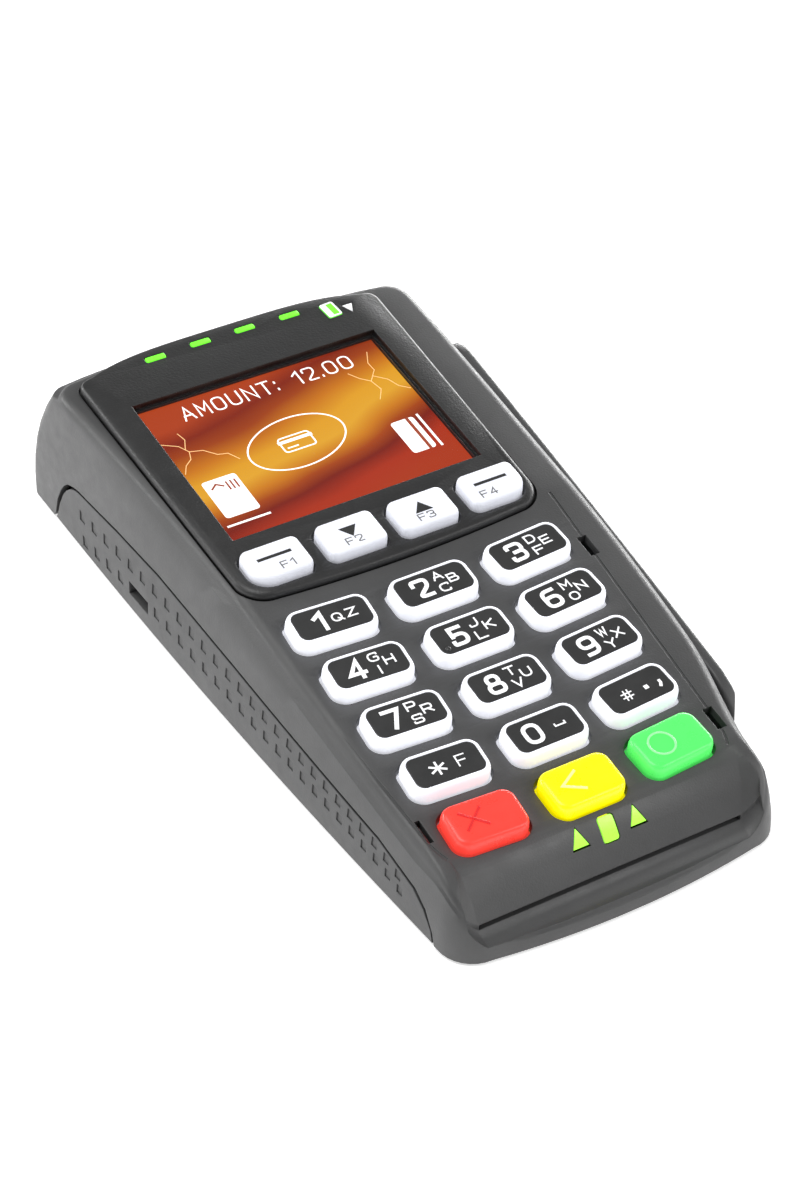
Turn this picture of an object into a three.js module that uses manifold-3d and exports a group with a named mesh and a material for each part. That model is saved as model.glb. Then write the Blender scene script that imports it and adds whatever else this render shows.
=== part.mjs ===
// Counter-top card payment terminal: a two-part housing that holds a colour display, a sealed
// keypad, a chip-card reader in the front lip and a magnetic-stripe rail along the right side.
// Units are millimetres, +Z is up and -Y is the end that faces the customer.
// x = 0 is the keypad's centre plane while a piece is being made; the group is shifted at the end
// so that the origin is the bottom centre of the whole terminal.
import * as THREE from 'three';
import { mergeVertices } from 'three/addons/utils/BufferGeometryUtils.js';
import Module from 'manifold-3d';

const wasm = await Module();
wasm.setup();

// ---------------------------------------------------------------- driving dimensions
const LENGTH = 167;                 // front lip to rear wall
const REAR_Y = LENGTH / 2;
const FRONT_Y = -LENGTH / 2;
const BASE_Z = 0.6;                 // underside of the housing; the feet reach down to z = 0
const HALF_WIDTH = 38.9;            // from the keypad's centre plane to the body's left side, near the rear
const BODY_CENTRE_X = 0.45;         // the body is this much wider on its right
const RAIL_OUTER_X = 45.6;          // outer face of the swipe rail
const BODY_X = (HALF_WIDTH - RAIL_OUTER_X) / 2;
const WALL = 1.8;                   // moulded wall thickness
const WALL_CURVE = 2.1;             // above 1 the walls bow outwards between base and shoulder
const GAP = 0.3;                    // clearance between separate pieces

const FACE_TILT = Math.atan(0.1584);    // slope of the keypad face
const FACE_Z0 = 26.67;                  // height of that face at y = 0
const BEZEL_TILT = Math.atan(0.1157);   // slope of the display bezel
const BEZEL_Z0 = 27.75;                 // height of the bezel's top at y = 0
const SHOULDER_SLOPE = 0.104;           // slope of the housing's shoulders beside the bezel

const FALL_START_Y = -69;           // where the face starts to curve down to the card slot
const SLOT_Y = -78;                 // front face above the card slot
const SLOT_TOP_Z = 6.5;
const SLOT_FLOOR_Z = 5.4;
const SLOT_X = [-28, 26.8];         // ends of the card slot, for a card 54 wide
const CHEEK_START_Y = -68;          // where the side cheeks start to curve down to the lip
const CHEEK_END_Y = -81.6;
const CHEEK_CURVE = 2.8;            // the cheeks stay high and then drop quickly
const CHEEK_SLOPE = { left: 2.8, right: 3.8, height: 2.8 };   // the cheeks' sloping inner faces
const FACE_SPREAD = { left: 1.5, right: 2.8 };   // how much wider the curved front face starts than it ends
const LIP_Z = 4.4;                  // top of the lip at the cheeks
const LIP_EDGE_Z = 4.0;             // top of the lip at its front edge
const LIP_PROFILE = [[-78.02, SLOT_FLOOR_Z], [-78.8, 4.6], [-79.8, 4.05], [-81.2, 3.75], [-82.4, 3.85],
  [-83.1, 4.1], [-85.5, 4.9]];      // the hollow between the card slot and the lip's rim
const INNER_FRONT_Y = -77.4;        // the space inside the shell ends a wall's thickness behind this

const BEZEL_THICK = 2.0;
const WINDOW_HALF_X = 27.4;
const WINDOW_Y = [12.1, 54.6];
const ABOVE_ALL = 60;               // a height well above the whole terminal, for cutters

const KEY_PROUD = 2.5;              // height of a key's label above the face
const FUNCTION_KEY_PROUD = 2.0;     // the same for the function keys, above the bezel
const FLANGE_THICK = 0.8;
const FLANGE = 0.6;                 // how far a key's hidden flange is wider than the key

// ---------------------------------------------------------------- profile functions
const faceZ = (y) => FACE_Z0 + Math.tan(FACE_TILT) * y;
const bezelZ = (y) => BEZEL_Z0 + Math.tan(BEZEL_TILT) * y;

// The shoulders follow the keypad face at the front and rise more slowly beside the bezel.
function shoulderZ(y) {
  return y < 0 ? faceZ(y) : FACE_Z0 + SHOULDER_SLOPE * y;
}

// Height of the housing's edge along its sides, down over the cheeks to the lip.
function edgeZ(y) {
  if (y >= CHEEK_START_Y) return shoulderZ(y);
  const cheekDrop = shoulderZ(CHEEK_END_Y) - LIP_Z;
  if (y >= CHEEK_END_Y) {
    const s = (CHEEK_START_Y - y) / (CHEEK_START_Y - CHEEK_END_Y);
    return shoulderZ(y) - cheekDrop * s ** CHEEK_CURVE;
  }
  return LIP_Z + (LIP_EDGE_Z - LIP_Z) * (CHEEK_END_Y - y) / (CHEEK_END_Y - FRONT_Y);
}

// Height of the middle of the top, which curves down to the card slot.
function fallZ(y) {
  if (y >= FALL_START_Y) return shoulderZ(y);
  const s = (FALL_START_Y - y) / (FALL_START_Y - SLOT_Y);
  return shoulderZ(y) - (faceZ(SLOT_Y) - SLOT_TOP_Z) * s ** 2;
}

const baseHalfWidth = (y) => HALF_WIDTH + BODY_CENTRE_X - 0.00028 * Math.max(0, 57 - y) ** 2;
const edgeHalfWidth = (y) => BODY_CENTRE_X + (y < 0 ? 34 - 0.0003 * y * y : 34 + 4.0 * (y / 62) ** 1.5);

// The rounding along the body's upper edge gets tighter over the cheeks.
const edgeRound = (y) => 1.2 + 1.4 * THREE.MathUtils.clamp((y + 76) / 10, 0, 1);

// The right shoulder stands out over the read head, which works in the wall under it.
const headBulge = (y) => 3.5 * Math.max(0, 1 - ((y + 2) / 68) ** 2);

// The whole right side stands further out than the left, from just behind the cheek to the rear.
const rightSwell = (y) => THREE.MathUtils.smoothstep(y, -70, -44)
  * (2.2 + 0.6 * THREE.MathUtils.clamp((y + 30) / 80, 0, 1));

// ---------------------------------------------------------------- solids
function toSolid(geometry) {
  const bare = geometry.index ? geometry.clone() : geometry;
  bare.deleteAttribute('normal');
  bare.deleteAttribute('uv');
  const merged = mergeVertices(bare, 1e-4);
  return new wasm.Manifold(new wasm.Mesh({
    numProp: 3,
    vertProperties: new Float32Array(merged.attributes.position.array),
    triVerts: new Uint32Array(merged.index.array),
  }));
}

function toGeometry(solid) {
  const mesh = solid.getMesh();
  const geometry = new THREE.BufferGeometry();
  geometry.setAttribute('position', new THREE.BufferAttribute(mesh.vertProperties, 3));
  geometry.setIndex(new THREE.BufferAttribute(mesh.triVerts, 1));
  return geometry;
}

const box = (x0, x1, y0, y1, z0, z1) => toSolid(new THREE.BoxGeometry(x1 - x0, y1 - y0, z1 - z0)
  .translate((x0 + x1) / 2, (y0 + y1) / 2, (z0 + z1) / 2));

// An upright cylinder standing on z0.
const cylinder = (x, y, z0, z1, radius, sides = 16) => toSolid(
  new THREE.CylinderGeometry(radius, radius, z1 - z0, sides)
    .rotateX(Math.PI / 2)
    .translate(x, y, (z0 + z1) / 2));

const outline = (points) => new THREE.Shape(points.map(([a, b]) => new THREE.Vector2(a, b)));

// A prism along Z from an outline of [x, y] points.
const prismZ = (points, z0, z1) => toSolid(
  new THREE.ExtrudeGeometry(outline(points), { depth: z1 - z0, bevelEnabled: false })
    .translate(0, 0, z0));

// A prism along X from an outline of [y, z] points.
function prismX(points, x0, x1) {
  const toYZ = new THREE.Matrix4().makeBasis(
    new THREE.Vector3(0, 1, 0), new THREE.Vector3(0, 0, 1), new THREE.Vector3(1, 0, 0));
  const geometry = new THREE.ExtrudeGeometry(outline(points), { depth: x1 - x0, bevelEnabled: false });
  return toSolid(geometry.applyMatrix4(toYZ).translate(x0, 0, 0));
}

// A closed solid through rings of points that run anticlockwise seen from above, lowest first.
function ringSolid(rings) {
  const count = rings[0].length;
  const positions = rings.flat(2);
  const index = [];
  for (let k = 0; k + 1 < rings.length; k += 1) {
    for (let i = 0; i < count; i += 1) {
      const a = k * count + i;
      const b = k * count + (i + 1) % count;
      index.push(a, b, b + count, a, b + count, a + count);
    }
  }
  const top = (rings.length - 1) * count;
  for (let i = 0; i < count / 2 - 1; i += 1) {
    const [a, b, c, d] = [i, i + 1, count - 2 - i, count - 1 - i];
    index.push(a, c, b, a, d, c);
    index.push(top + a, top + b, top + c, top + a, top + c, top + d);
  }
  const geometry = new THREE.BufferGeometry();
  geometry.setAttribute('position', new THREE.Float32BufferAttribute(positions, 3));
  geometry.setIndex(index);
  return toSolid(geometry);
}

// A rounded rectangle of [x, y] points, anticlockwise, with its own corner radii.
function roundedRect(width, depth, radii, steps = 3) {
  const [rearRight, rearLeft, frontLeft, frontRight] = Array.isArray(radii) ? radii : Array(4).fill(radii);
  const corners = [
    [width / 2, depth / 2, rearRight, 0],
    [-width / 2, depth / 2, rearLeft, 1],
    [-width / 2, -depth / 2, frontLeft, 2],
    [width / 2, -depth / 2, frontRight, 3],
  ];
  const points = [];
  for (const [x, y, r, quarter] of corners) {
    for (let k = 0; k < steps; k += 1) {
      const angle = (quarter + k / (steps - 1)) * Math.PI / 2;
      const cx = x - Math.sign(x) * r;
      const cy = y - Math.sign(y) * r;
      points.push([cx + r * Math.cos(angle), cy + r * Math.sin(angle)]);
    }
  }
  return points;
}

// Moves a solid made on z = 0 onto a plane that slopes up towards +Y.
function onPlane(solid, x, y, z, tilt, turn = 0) {
  const place = new THREE.Matrix4().makeTranslation(x, y, z)
    .multiply(new THREE.Matrix4().makeRotationX(tilt))
    .multiply(new THREE.Matrix4().makeRotationZ(turn));
  return solid.transform(place.elements);
}

const onFace = (solid, x, y, turn = 0) => onPlane(solid, x, y, faceZ(y), FACE_TILT, turn);
const onBezel = (solid, x, y, turn = 0) => onPlane(solid, x, y, bezelZ(y), BEZEL_TILT, turn);

// ---------------------------------------------------------------- the housing's outer form
// Half of the plan outline, from the middle of the rear to the middle of the front, as [x, y].
function halfOutline({ halfWidth, rearY, rearArch, rearRadius, frontY, frontArch, frontRadius }) {
  const flat = 3;
  const points = [];
  const rearHalf = halfWidth(rearY - rearArch - rearRadius);
  const frontHalf = halfWidth(frontY + frontArch + frontRadius);
  const rearEdge = (x) => rearY - rearArch * (x / rearHalf) ** 4;
  const frontEdge = (x) => frontY + frontArch * (x / frontHalf) ** 2;
  for (let k = 0; k <= 4; k += 1) {
    const x = flat + (rearHalf - rearRadius - flat) * k / 4;
    points.push([x, rearEdge(x)]);
  }
  const [rearCx, rearCy] = [rearHalf - rearRadius, rearEdge(rearHalf - rearRadius) - rearRadius];
  for (let k = 1; k <= 4; k += 1) {
    const angle = Math.PI / 2 * (1 - k / 4);
    points.push([rearCx + rearRadius * Math.cos(angle), rearCy + rearRadius * Math.sin(angle)]);
  }
  const [frontCx, frontCy] = [frontHalf - frontRadius, frontEdge(frontHalf - frontRadius) + frontRadius];
  const steps = 13;
  for (let k = 1; k < steps; k += 1) {
    const y = rearCy + (frontCy - rearCy) * k / steps;
    points.push([halfWidth(y), y]);
  }
  for (let k = 0; k <= 4; k += 1) {
    const angle = -Math.PI / 2 * k / 4;
    points.push([frontCx + frontRadius * Math.cos(angle), frontCy + frontRadius * Math.sin(angle)]);
  }
  for (let k = 1; k <= 4; k += 1) {
    const x = frontCx + (flat - frontCx) * k / 4;
    points.push([x, frontEdge(x)]);
  }
  return points;
}

// The whole ring: down the left side from rear to front, then up the right side.
function fullRing(half, height, bulge = () => 0) {
  const left = half.map(([x, y]) => [BODY_CENTRE_X - x, y, height(y)]);
  const right = half.map(([x, y]) => [BODY_CENTRE_X + x + bulge(y), y, height(y)]).reverse();
  return [...left, ...right];
}

// The body's envelope, drawn in by `inset` on every side. `top` gives its height along Y.
function envelope(options) {
  const frontRadius = 7;
  const {
    inset = 0,
    top = edgeZ,
    bottom = BASE_Z,
    frontY = FRONT_Y,
    frontArch = 3.4,
    radius = 2.6,
  } = options;
  const baseHalf = halfOutline({
    halfWidth: (y) => baseHalfWidth(y) - inset,
    rearY: REAR_Y - inset,
    rearArch: 0.3,
    rearRadius: 3.4,
    frontY: frontY + inset,
    frontArch,
    frontRadius,
  });
  const edgeHalf = halfOutline({
    halfWidth: (y) => edgeHalfWidth(y) - inset,
    rearY: 71.2 - inset,
    rearArch: 2.6,
    rearRadius: 4.4,
    frontY: frontY + inset + 0.5,
    frontArch,
    frontRadius,
  });
  const edge = fullRing(edgeHalf, top, (y) => headBulge(y) + rightSwell(y));
  const foot = fullRing(baseHalf, () => bottom, rightSwell);
  const start = Math.max(bottom, BASE_Z);
  const wall = (rise) => edge.map(([x, y, z], i) => {
    const height = start + (z - start) * rise;
    const lean = Math.max(0, (height - BASE_Z) / (z - BASE_Z)) ** WALL_CURVE;
    return [foot[i][0] + (x - foot[i][0]) * lean, foot[i][1] + (y - foot[i][1]) * lean, height];
  });
  const round = edge.map(([, y, z]) => Math.min(radius, edgeRound(y), 0.45 * (z - bottom)));
  const innerRing = edge.map(([x, y], i) => {
    const length = Math.hypot(x, y * 0.45);
    const innerY = y - round[i] * y * 0.45 / length;
    return [x - round[i] * x / length, innerY, top(innerY)];
  });
  const shoulder = (inward, down) => edge.map(([x, y, z], i) => [
    x + (innerRing[i][0] - x) * inward,
    y + (innerRing[i][1] - y) * inward,
    z + (innerRing[i][2] - z) * inward - round[i] * down,
  ]);
  const wallTop = wall(1).map(([x, y, z], i) => {
    const t = WALL_CURVE * round[i] / (z - BASE_Z);
    return [x + (foot[i][0] - x) * t, y + (foot[i][1] - y) * t, z - round[i]];
  });
  const below = bottom < BASE_Z ? [foot] : [];
  const rounding = [shoulder(0.134, 0.5), shoulder(0.5, 0.134), innerRing];
  return ringSolid([...below, wall(0), wall(0.45), wallTop, ...rounding]);
}

// Ends in X of the curved front face, which is a little wider where it starts than at the card slot.
function frontFaceX(y) {
  const t = THREE.MathUtils.clamp((y - SLOT_Y) / (FALL_START_Y - SLOT_Y), 0, 1);
  return [SLOT_X[0] - FACE_SPREAD.left * t ** 2, SLOT_X[1] + FACE_SPREAD.right * t * (2 - t)];
}

// Everything above the curved front face and the lip, between the cheeks' sloping inner faces.
function frontCut() {
  const section = (y, z) => {
    const [left, right] = frontFaceX(y);
    return [
      [left - CHEEK_SLOPE.left, y, ABOVE_ALL],
      [right + CHEEK_SLOPE.right, y, ABOVE_ALL],
      [right + CHEEK_SLOPE.right, y, z + CHEEK_SLOPE.height],
      [right, y, z],
      [left, y, z],
      [left - CHEEK_SLOPE.left, y, z + CHEEK_SLOPE.height],
    ];
  };
  const rings = [];
  const steps = 8;
  for (let k = 0; k <= steps; k += 1) {
    const y = FALL_START_Y + (SLOT_Y - FALL_START_Y) * k / steps;
    rings.push(section(y, fallZ(y)));
  }
  rings.push(...LIP_PROFILE.map(([y, z]) => section(y, z)));
  return ringSolid(rings.reverse());
}

// Side openings of the upper housing, filled by the lower housing's side panels.
const SWIPE_FLOOR_DROP = 17;        // the swipe slot's floor lies this far below the keypad face
const swipeFloorZ = (y) => faceZ(y) - SWIPE_FLOOR_DROP;

function leftArch(grow) {
  return [[72 + grow, -1], [70 + grow, 2], [66.6 + grow, 8.9 + grow], [63.1 + grow, 12.5 + grow],
    [59, 14 + grow], [25, 15.6 + grow], [-55, 10.6 + grow], [-66 - grow, 8.2 + grow],
    [-72 - grow, 3], [-73 - grow, -1]];
}

function rightArch(grow) {
  return [[60 + grow, -1], [57 + grow, swipeFloorZ(57) + grow], [-46 - grow, swipeFloorZ(-46) + grow],
    [-48 - grow, -1]];
}

function archCut(grow) {
  return prismX(leftArch(grow), -60, 0).add(prismX(rightArch(grow), 0, 60));
}

// ---------------------------------------------------------------- keys
const KEY_ROWS = [19.6, 6.5, -6.6, -19.6];       // along the sloping face, from the second row pair
const KEY_COLUMN_X = [21.1, 20.8, 20.5, 20.05];  // outer columns close up towards the front
const KEY_WIDTHS = [14.8, 14.45, 14.1, 13.7];
const KEY_DEPTH = 6.95;
const KEY_ROW_ORIGIN_Y = -34.1;
const SMILE = 0.65;                               // middle keys sit this much nearer the front
const LEFT_TURN = THREE.MathUtils.degToRad(-3.3);
const RIGHT_TURN = THREE.MathUtils.degToRad(3.8);
const RIM = 1.0;                                  // white rim around a key's dark label
const COMMAND_SIZE = [14.6, 9.6];
const FUNCTION_SIZE = [12.3, 8.7];

// The face point below a label that lies `along` the slope from the row origin.
const keyY = (along) => KEY_ROW_ORIGIN_Y + along * Math.cos(FACE_TILT) + KEY_PROUD * Math.sin(FACE_TILT);

function keySpecs() {
  const specs = [];
  const names = [['1', '2', '3'], ['4', '5', '6'], ['7', '8', '9'], ['star', '0', 'hash']];
  names.forEach((row, r) => {
    row.forEach((name, c) => {
      const side = c - 1;
      specs.push({
        name: `key_${name}`,
        x: side === 0 ? 0.1 : side * KEY_COLUMN_X[r],
        y: keyY(KEY_ROWS[r] - (side === 0 ? SMILE : 0)),
        turn: [LEFT_TURN, 0, RIGHT_TURN][c],
        width: KEY_WIDTHS[r] + 2 * RIM,
        depth: KEY_DEPTH + 2 * RIM,
        radius: 2.7,
        colour: 0xe9ecf2,
        flangeDrop: GAP,
      });
    });
  });
  const commands = [
    ['key_cancel', -19.7, -65.8, LEFT_TURN, 0xe33a35],
    ['key_clear', -0.1, -66.3, 0, 0xf2e21c],
    ['key_enter', 19.3, -65.6, RIGHT_TURN, 0x45d957],
  ];
  const [width, depth] = COMMAND_SIZE;
  for (const [name, x, y, turn, colour] of commands) {
    specs.push({ name, x, y, turn, width, depth, radius: 2.6, colour, flangeDrop: 2.7 * GAP });
  }
  return specs;
}

function functionKeySpecs() {
  const big = 4;
  const small = 1.6;
  return [
    { name: 'key_f1', x: -23.2, y: 2.8, radius: [small, small, big, small] },
    { name: 'key_f2', x: -7.3, y: 2.8, radius: small },
    { name: 'key_f3', x: 8.2, y: 2.5, radius: small },
    { name: 'key_f4', x: 23.9, y: 2.8, radius: [small, small, small, big] },
  ];
}

// A key: a hidden flange, a stem through the housing and a cap that tapers to its label.
function keySolid({ width, depth, radius, proud, thick, flangeTop }) {
  const ring = (grow, z) => roundedRect(width + 2 * grow, depth + 2 * grow, radius)
    .map(([x, y]) => [x, y, z]);
  return ringSolid([
    ring(FLANGE, flangeTop - FLANGE_THICK),
    ring(FLANGE, flangeTop),
    ring(0, flangeTop),
    ring(0, proud - thick),
    ring(-0.15, proud - 0.35),
    ring(-0.5, proud),
  ]);
}

// ---------------------------------------------------------------- housing pieces
const SCREWS = [[-34.7, 58], [38.4, 58], [-33, -22], [36.4, -22]];
const SCREW_HEAD_RADIUS = 1.7;
const BOSS_RADIUS = 2.3;
const SCREW_RADIUS = 1.1;
const FLOOR_TOP_Z = BASE_Z + 2.0;
const HEAD = { tipX: 41.4, y: 5, halfLength: 4.6, z: 15, halfHeight: 3 };   // magnetic read head
const HOLE_GAP = 0.45;              // clearance between a key and its hole

function bezelOutline(grow) {
  const points = [];
  const side = (y) => 32.5 + 0.0255 * (y - 7.5) + grow;
  const rear = (x) => 69.6 - 3.5e-6 * x ** 4 + grow;
  const front = (x) => -5 + 0.0017 * x * x - grow;
  const rearRadius = 2.6;
  const frontRadius = 6;
  const half = [];
  const frontX = side(2) - frontRadius;
  for (let k = 0; k <= 3; k += 1) half.push([frontX * k / 3, front(frontX * k / 3)]);
  for (let k = 1; k <= 5; k += 1) {
    const angle = -Math.PI / 2 * (1 - k / 5);
    const y = front(frontX) + frontRadius * (1 + Math.sin(angle));
    half.push([frontX + frontRadius * Math.cos(angle), y]);
  }
  const rearX = side(62) - rearRadius;
  half.push([side(30), 30]);
  for (let k = 0; k <= 3; k += 1) {
    const angle = Math.PI / 2 * k / 3;
    half.push([rearX + rearRadius * Math.cos(angle), rear(rearX) - rearRadius * (1 - Math.sin(angle))]);
  }
  for (let k = 1; k <= 5; k += 1) half.push([rearX * (1 - k / 5), rear(rearX * (1 - k / 5))]);
  points.push(...half);
  for (let k = half.length - 2; k > 0; k -= 1) points.push([-half[k][0], half[k][1]]);
  return points;
}

// A plan outline at true y pressed onto the bezel plane between two depths below its top.
const bezelSlab = (points, low, high) => onPlane(
  prismZ(points.map(([x, y]) => [x, y / Math.cos(BEZEL_TILT)]), low, high), 0, 0, BEZEL_Z0, BEZEL_TILT);

const rect = (x0, x1, y0, y1) => [[x0, y0], [x1, y0], [x1, y1], [x0, y1]];

const LIGHTS = [[-16.5, 65.9], [-6.2, 66.3], [3.9, 66.3], [14.1, 66.1]];
const LIGHT_SIZE = [4.3, 1.4];
const SWIPE_ICON = { x: 22.6, y: 63.9, width: 3.1, depth: 4.4, turn: THREE.MathUtils.degToRad(4) };
const SWIPE_ARROW = { x: 26.5, y: 62.8, size: 2.2 };
const CARD_LIGHTS = [
  { name: 'card_arrow_left', x: -5.3, y: -73.8, kind: 'triangle' },
  { name: 'card_indicator', x: 0.8, y: -74.1, kind: 'card' },
  { name: 'card_arrow_right', x: 6.7, y: -73.8, kind: 'triangle' },
];
const CARD_LIGHT_TILT = THREE.MathUtils.degToRad(44);

const triangle = (size) => [[-size / 2, -size * 0.55], [size / 2, -size * 0.55], [0, size * 0.55]];

function cardLightOutline(kind, grow) {
  if (kind === 'card') return roundedRect(3 + 2 * grow, 4.6 + 2 * grow, 0.5 + grow);
  return triangle(3.1 + 3 * grow);
}

function cardLightPrism({ x, y, kind }, grow, low, high) {
  return onPlane(prismZ(cardLightOutline(kind, grow), low, high), x, y, fallZ(y), CARD_LIGHT_TILT);
}

function keyHole(width, depth, radius, low) {
  return prismZ(roundedRect(width + 2 * HOLE_GAP, depth + 2 * HOLE_GAP, radius), low, 4);
}

const faceKeyHoles = () => keySpecs().map((key) => onFace(
  keyHole(key.width, key.depth, key.radius, -4), key.x, key.y, key.turn));

const functionKeyHoles = () => functionKeySpecs().map((key) => onBezel(
  keyHole(...FUNCTION_SIZE, key.radius, -7), key.x, key.y));

// Openings through the face beside the keys, for the hooks of a privacy shield.
function shieldNotches() {
  const length = 5.2;
  const notches = [
    { x: 33.4, y: -17.0, width: 2.0 },
    { x: 30.7, y: -63.2, width: 2.0 },
    { x: -29.9, y: -62.6, width: 1.0 },
  ];
  return wasm.Manifold.union(notches.map(({ x, y, width }) => onFace(
    box(-width / 2, width / 2, -length / 2, length / 2, -2 * WALL, 2), x, y)));
}

const SOCKET = { halfWidth: 7.4, bottom: 3.0, height: 9.4, depth: 12 };

// The space inside the shell, drawn in by `inset` and standing on `bottom`.
const innerSpace = (inset, bottom) => envelope({
  inset,
  top: (y) => fallZ(y) - WALL,
  bottom,
  frontY: INNER_FRONT_Y,
  frontArch: 0,
  radius: 1.2,
});

function topHousing() {
  let solid = envelope({}).subtract(frontCut()).subtract(innerSpace(WALL, BASE_Z - 2));
  const bosses = SCREWS.map(([x, y]) => cylinder(x, y, FLOOR_TOP_Z + GAP, y > 0 ? 20 : 10.4, BOSS_RADIUS));
  const inside = envelope({ inset: 0.6 });
  solid = solid.add(wasm.Manifold.union(bosses).intersect(inside));
  const cuts = [
    bezelSlab(bezelOutline(0.35), -BEZEL_THICK - GAP, 12),
    bezelSlab(rect(-30.6, 30.6, 9.4, 57.6), -9, 1),
    ...faceKeyHoles(),
    ...functionKeyHoles(),
    shieldNotches(),
    box(...SLOT_X, SLOT_Y - 1, -70, SLOT_FLOOR_Z, SLOT_TOP_Z),
    archCut(GAP),
    swipeSlot(),
    box(20, 45, HEAD.y - HEAD.halfLength - 0.5, HEAD.y + HEAD.halfLength + 0.5,
      HEAD.z - HEAD.halfHeight - 0.5, HEAD.z + HEAD.halfHeight + 0.5),
    box(-SOCKET.halfWidth, SOCKET.halfWidth, 70, 90, SOCKET.bottom - 5, SOCKET.bottom + SOCKET.height),
    ...CARD_LIGHTS.map((light) => cardLightPrism(light, 0.25, -6, 6)),
    ...SCREWS.map(([x, y]) => cylinder(x, y, BASE_Z - 1, y > 0 ? 17 : 9, SCREW_RADIUS + 0.1, 12)),
  ];
  return solid.subtract(wasm.Manifold.union(cuts));
}

const FEET = [[-26, 70], [26, 70], [-25, -69], [25, -69]];
const FOOT_RADIUS = 4.5;
const COVER = { x0: -15, x1: 15, y0: 12, y1: 42 };
const TETHER_SLOT = { y0: 28.5, y1: 36.6, z0: 4.1, z1: 7.1 };

function bottomHousing() {
  const lowBody = envelope({}).intersect(box(-60, 60, -90, 90, BASE_Z, 25));
  const panels = lowBody.intersect(archCut(0));
  const floor = envelope({ inset: WALL + GAP, bottom: BASE_Z, frontY: INNER_FRONT_Y, frontArch: 0 })
    .intersect(box(-60, 60, -90, 90, BASE_Z, FLOOR_TOP_Z));
  const cuts = [
    innerSpace(WALL + GAP, FLOOR_TOP_Z),
    ...SCREWS.map(([x, y]) => cylinder(x, y, BASE_Z - 1, 8, SCREW_RADIUS + GAP)),
    ...SCREWS.map(([x, y]) => cylinder(x, y, BASE_Z - 1, BASE_Z + 1.1, SCREW_HEAD_RADIUS + GAP)),
    ...SCREWS.map(([x, y]) => cylinder(x, y, FLOOR_TOP_Z, 21, BOSS_RADIUS + GAP)),
    ...FEET.map(([x, y]) => cylinder(x, y, BASE_Z - 1, BASE_Z + 0.5, FOOT_RADIUS + GAP, 20)),
    box(COVER.x0, COVER.x1, COVER.y0, COVER.y1, BASE_Z - 1, BASE_Z + 1.2),
    box(COVER.x0 + 2, COVER.x1 - 2, COVER.y0 + 5, COVER.y1 - 2, BASE_Z - 1, 5),
    cylinder(0, COVER.y0 + 2.5, BASE_Z - 1, 5, SCREW_RADIUS + GAP),
    box(-50, -30, TETHER_SLOT.y0, TETHER_SLOT.y1, TETHER_SLOT.z0, TETHER_SLOT.z1),
  ];
  return panels.add(floor).subtract(wasm.Manifold.union(cuts));
}

const RAIL_INNER_X = 43.0;
const SWIPE_WALL_X = 41.5;          // the body's side of the swipe slot

// The space that a card is drawn through: nothing of the body reaches past its wall here.
const swipeSlot = () => prismX(
  [[-60, swipeFloorZ(-60)], [58, swipeFloorZ(58)], [58, ABOVE_ALL], [-60, ABOVE_ALL]],
  SWIPE_WALL_X, 60);

// The rail that a card's stripe is drawn along: a low block with an upright fin on its outside.
function swipeRail() {
  const crestZ = (y) => 19.1 + 0.203 * (y - 1) - 0.0002 * (y - 1) ** 2;
  const crest = [];
  for (let y = -46; y <= 46; y += 23) crest.push([y, crestZ(y)]);
  const frontEnd = [[-54, BASE_Z], [-53.4, 3], [-51, 6.3]];
  const rearEnd = [[48.5, 27.9], [52, 26], [54.5, 21], [56, BASE_Z]];
  const side = [...frontEnd, ...crest, ...rearEnd];
  const fin = prismX(side, RAIL_INNER_X, RAIL_OUTER_X);
  const floorSide = [[-50, BASE_Z], [-46, swipeFloorZ(-46)], [52, swipeFloorZ(52)], [54, BASE_Z]];
  const block = prismX(floorSide, 30, RAIL_INNER_X + 0.5);
  const nose = 4;
  const plan = prismZ([[RAIL_OUTER_X, -54 + nose], [RAIL_OUTER_X, 60], [30, 60], [30, -60],
    [RAIL_INNER_X, -54]], -1, 40);
  const bodyRoom = envelope({ inset: -GAP, bottom: BASE_Z - 3 }).subtract(swipeSlot());
  return fin.add(block).intersect(plan).subtract(bodyRoom);
}

// ---------------------------------------------------------------- display
function displayBezel() {
  const plate = bezelSlab(bezelOutline(0), -BEZEL_THICK, 0);
  const chamfer = bezelSlab(bezelOutline(-0.9), -BEZEL_THICK, 0);
  const lower = bezelSlab(bezelOutline(0), -BEZEL_THICK, -0.9);
  const shaped = plate.intersect(wasm.Manifold.hull([chamfer, lower]));
  const cuts = [
    bezelSlab(rect(-WINDOW_HALF_X, WINDOW_HALF_X, ...WINDOW_Y), -1.4, 1),
    bezelSlab(rect(-WINDOW_HALF_X + 0.6, WINDOW_HALF_X - 0.6, WINDOW_Y[0] + 0.6, WINDOW_Y[1] - 0.6), -4, 1),
    ...functionKeyHoles(),
    ...LIGHTS.map(([x, y]) => onBezel(box(-LIGHT_SIZE[0] / 2 - GAP, LIGHT_SIZE[0] / 2 + GAP,
      -LIGHT_SIZE[1] / 2 - GAP, LIGHT_SIZE[1] / 2 + GAP, -4, 2), x, y)),
    onBezel(box(-SWIPE_ICON.width / 2 - GAP, SWIPE_ICON.width / 2 + GAP, -SWIPE_ICON.depth / 2 - GAP,
      SWIPE_ICON.depth / 2 + GAP, -4, 2), SWIPE_ICON.x, SWIPE_ICON.y, SWIPE_ICON.turn),
    onBezel(prismZ(triangle(SWIPE_ARROW.size + 1), -4, 2), SWIPE_ARROW.x, SWIPE_ARROW.y, Math.PI),
  ];
  return shaped.subtract(wasm.Manifold.union(cuts));
}

const displayWindow = () => bezelSlab(
  rect(-WINDOW_HALF_X + GAP, WINDOW_HALF_X - GAP, WINDOW_Y[0] + GAP, WINDOW_Y[1] - GAP), -1.1, -0.4);

const lcdPanel = () => bezelSlab(rect(-30, 30, 10, 57), -4.8, -BEZEL_THICK - GAP);

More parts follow.
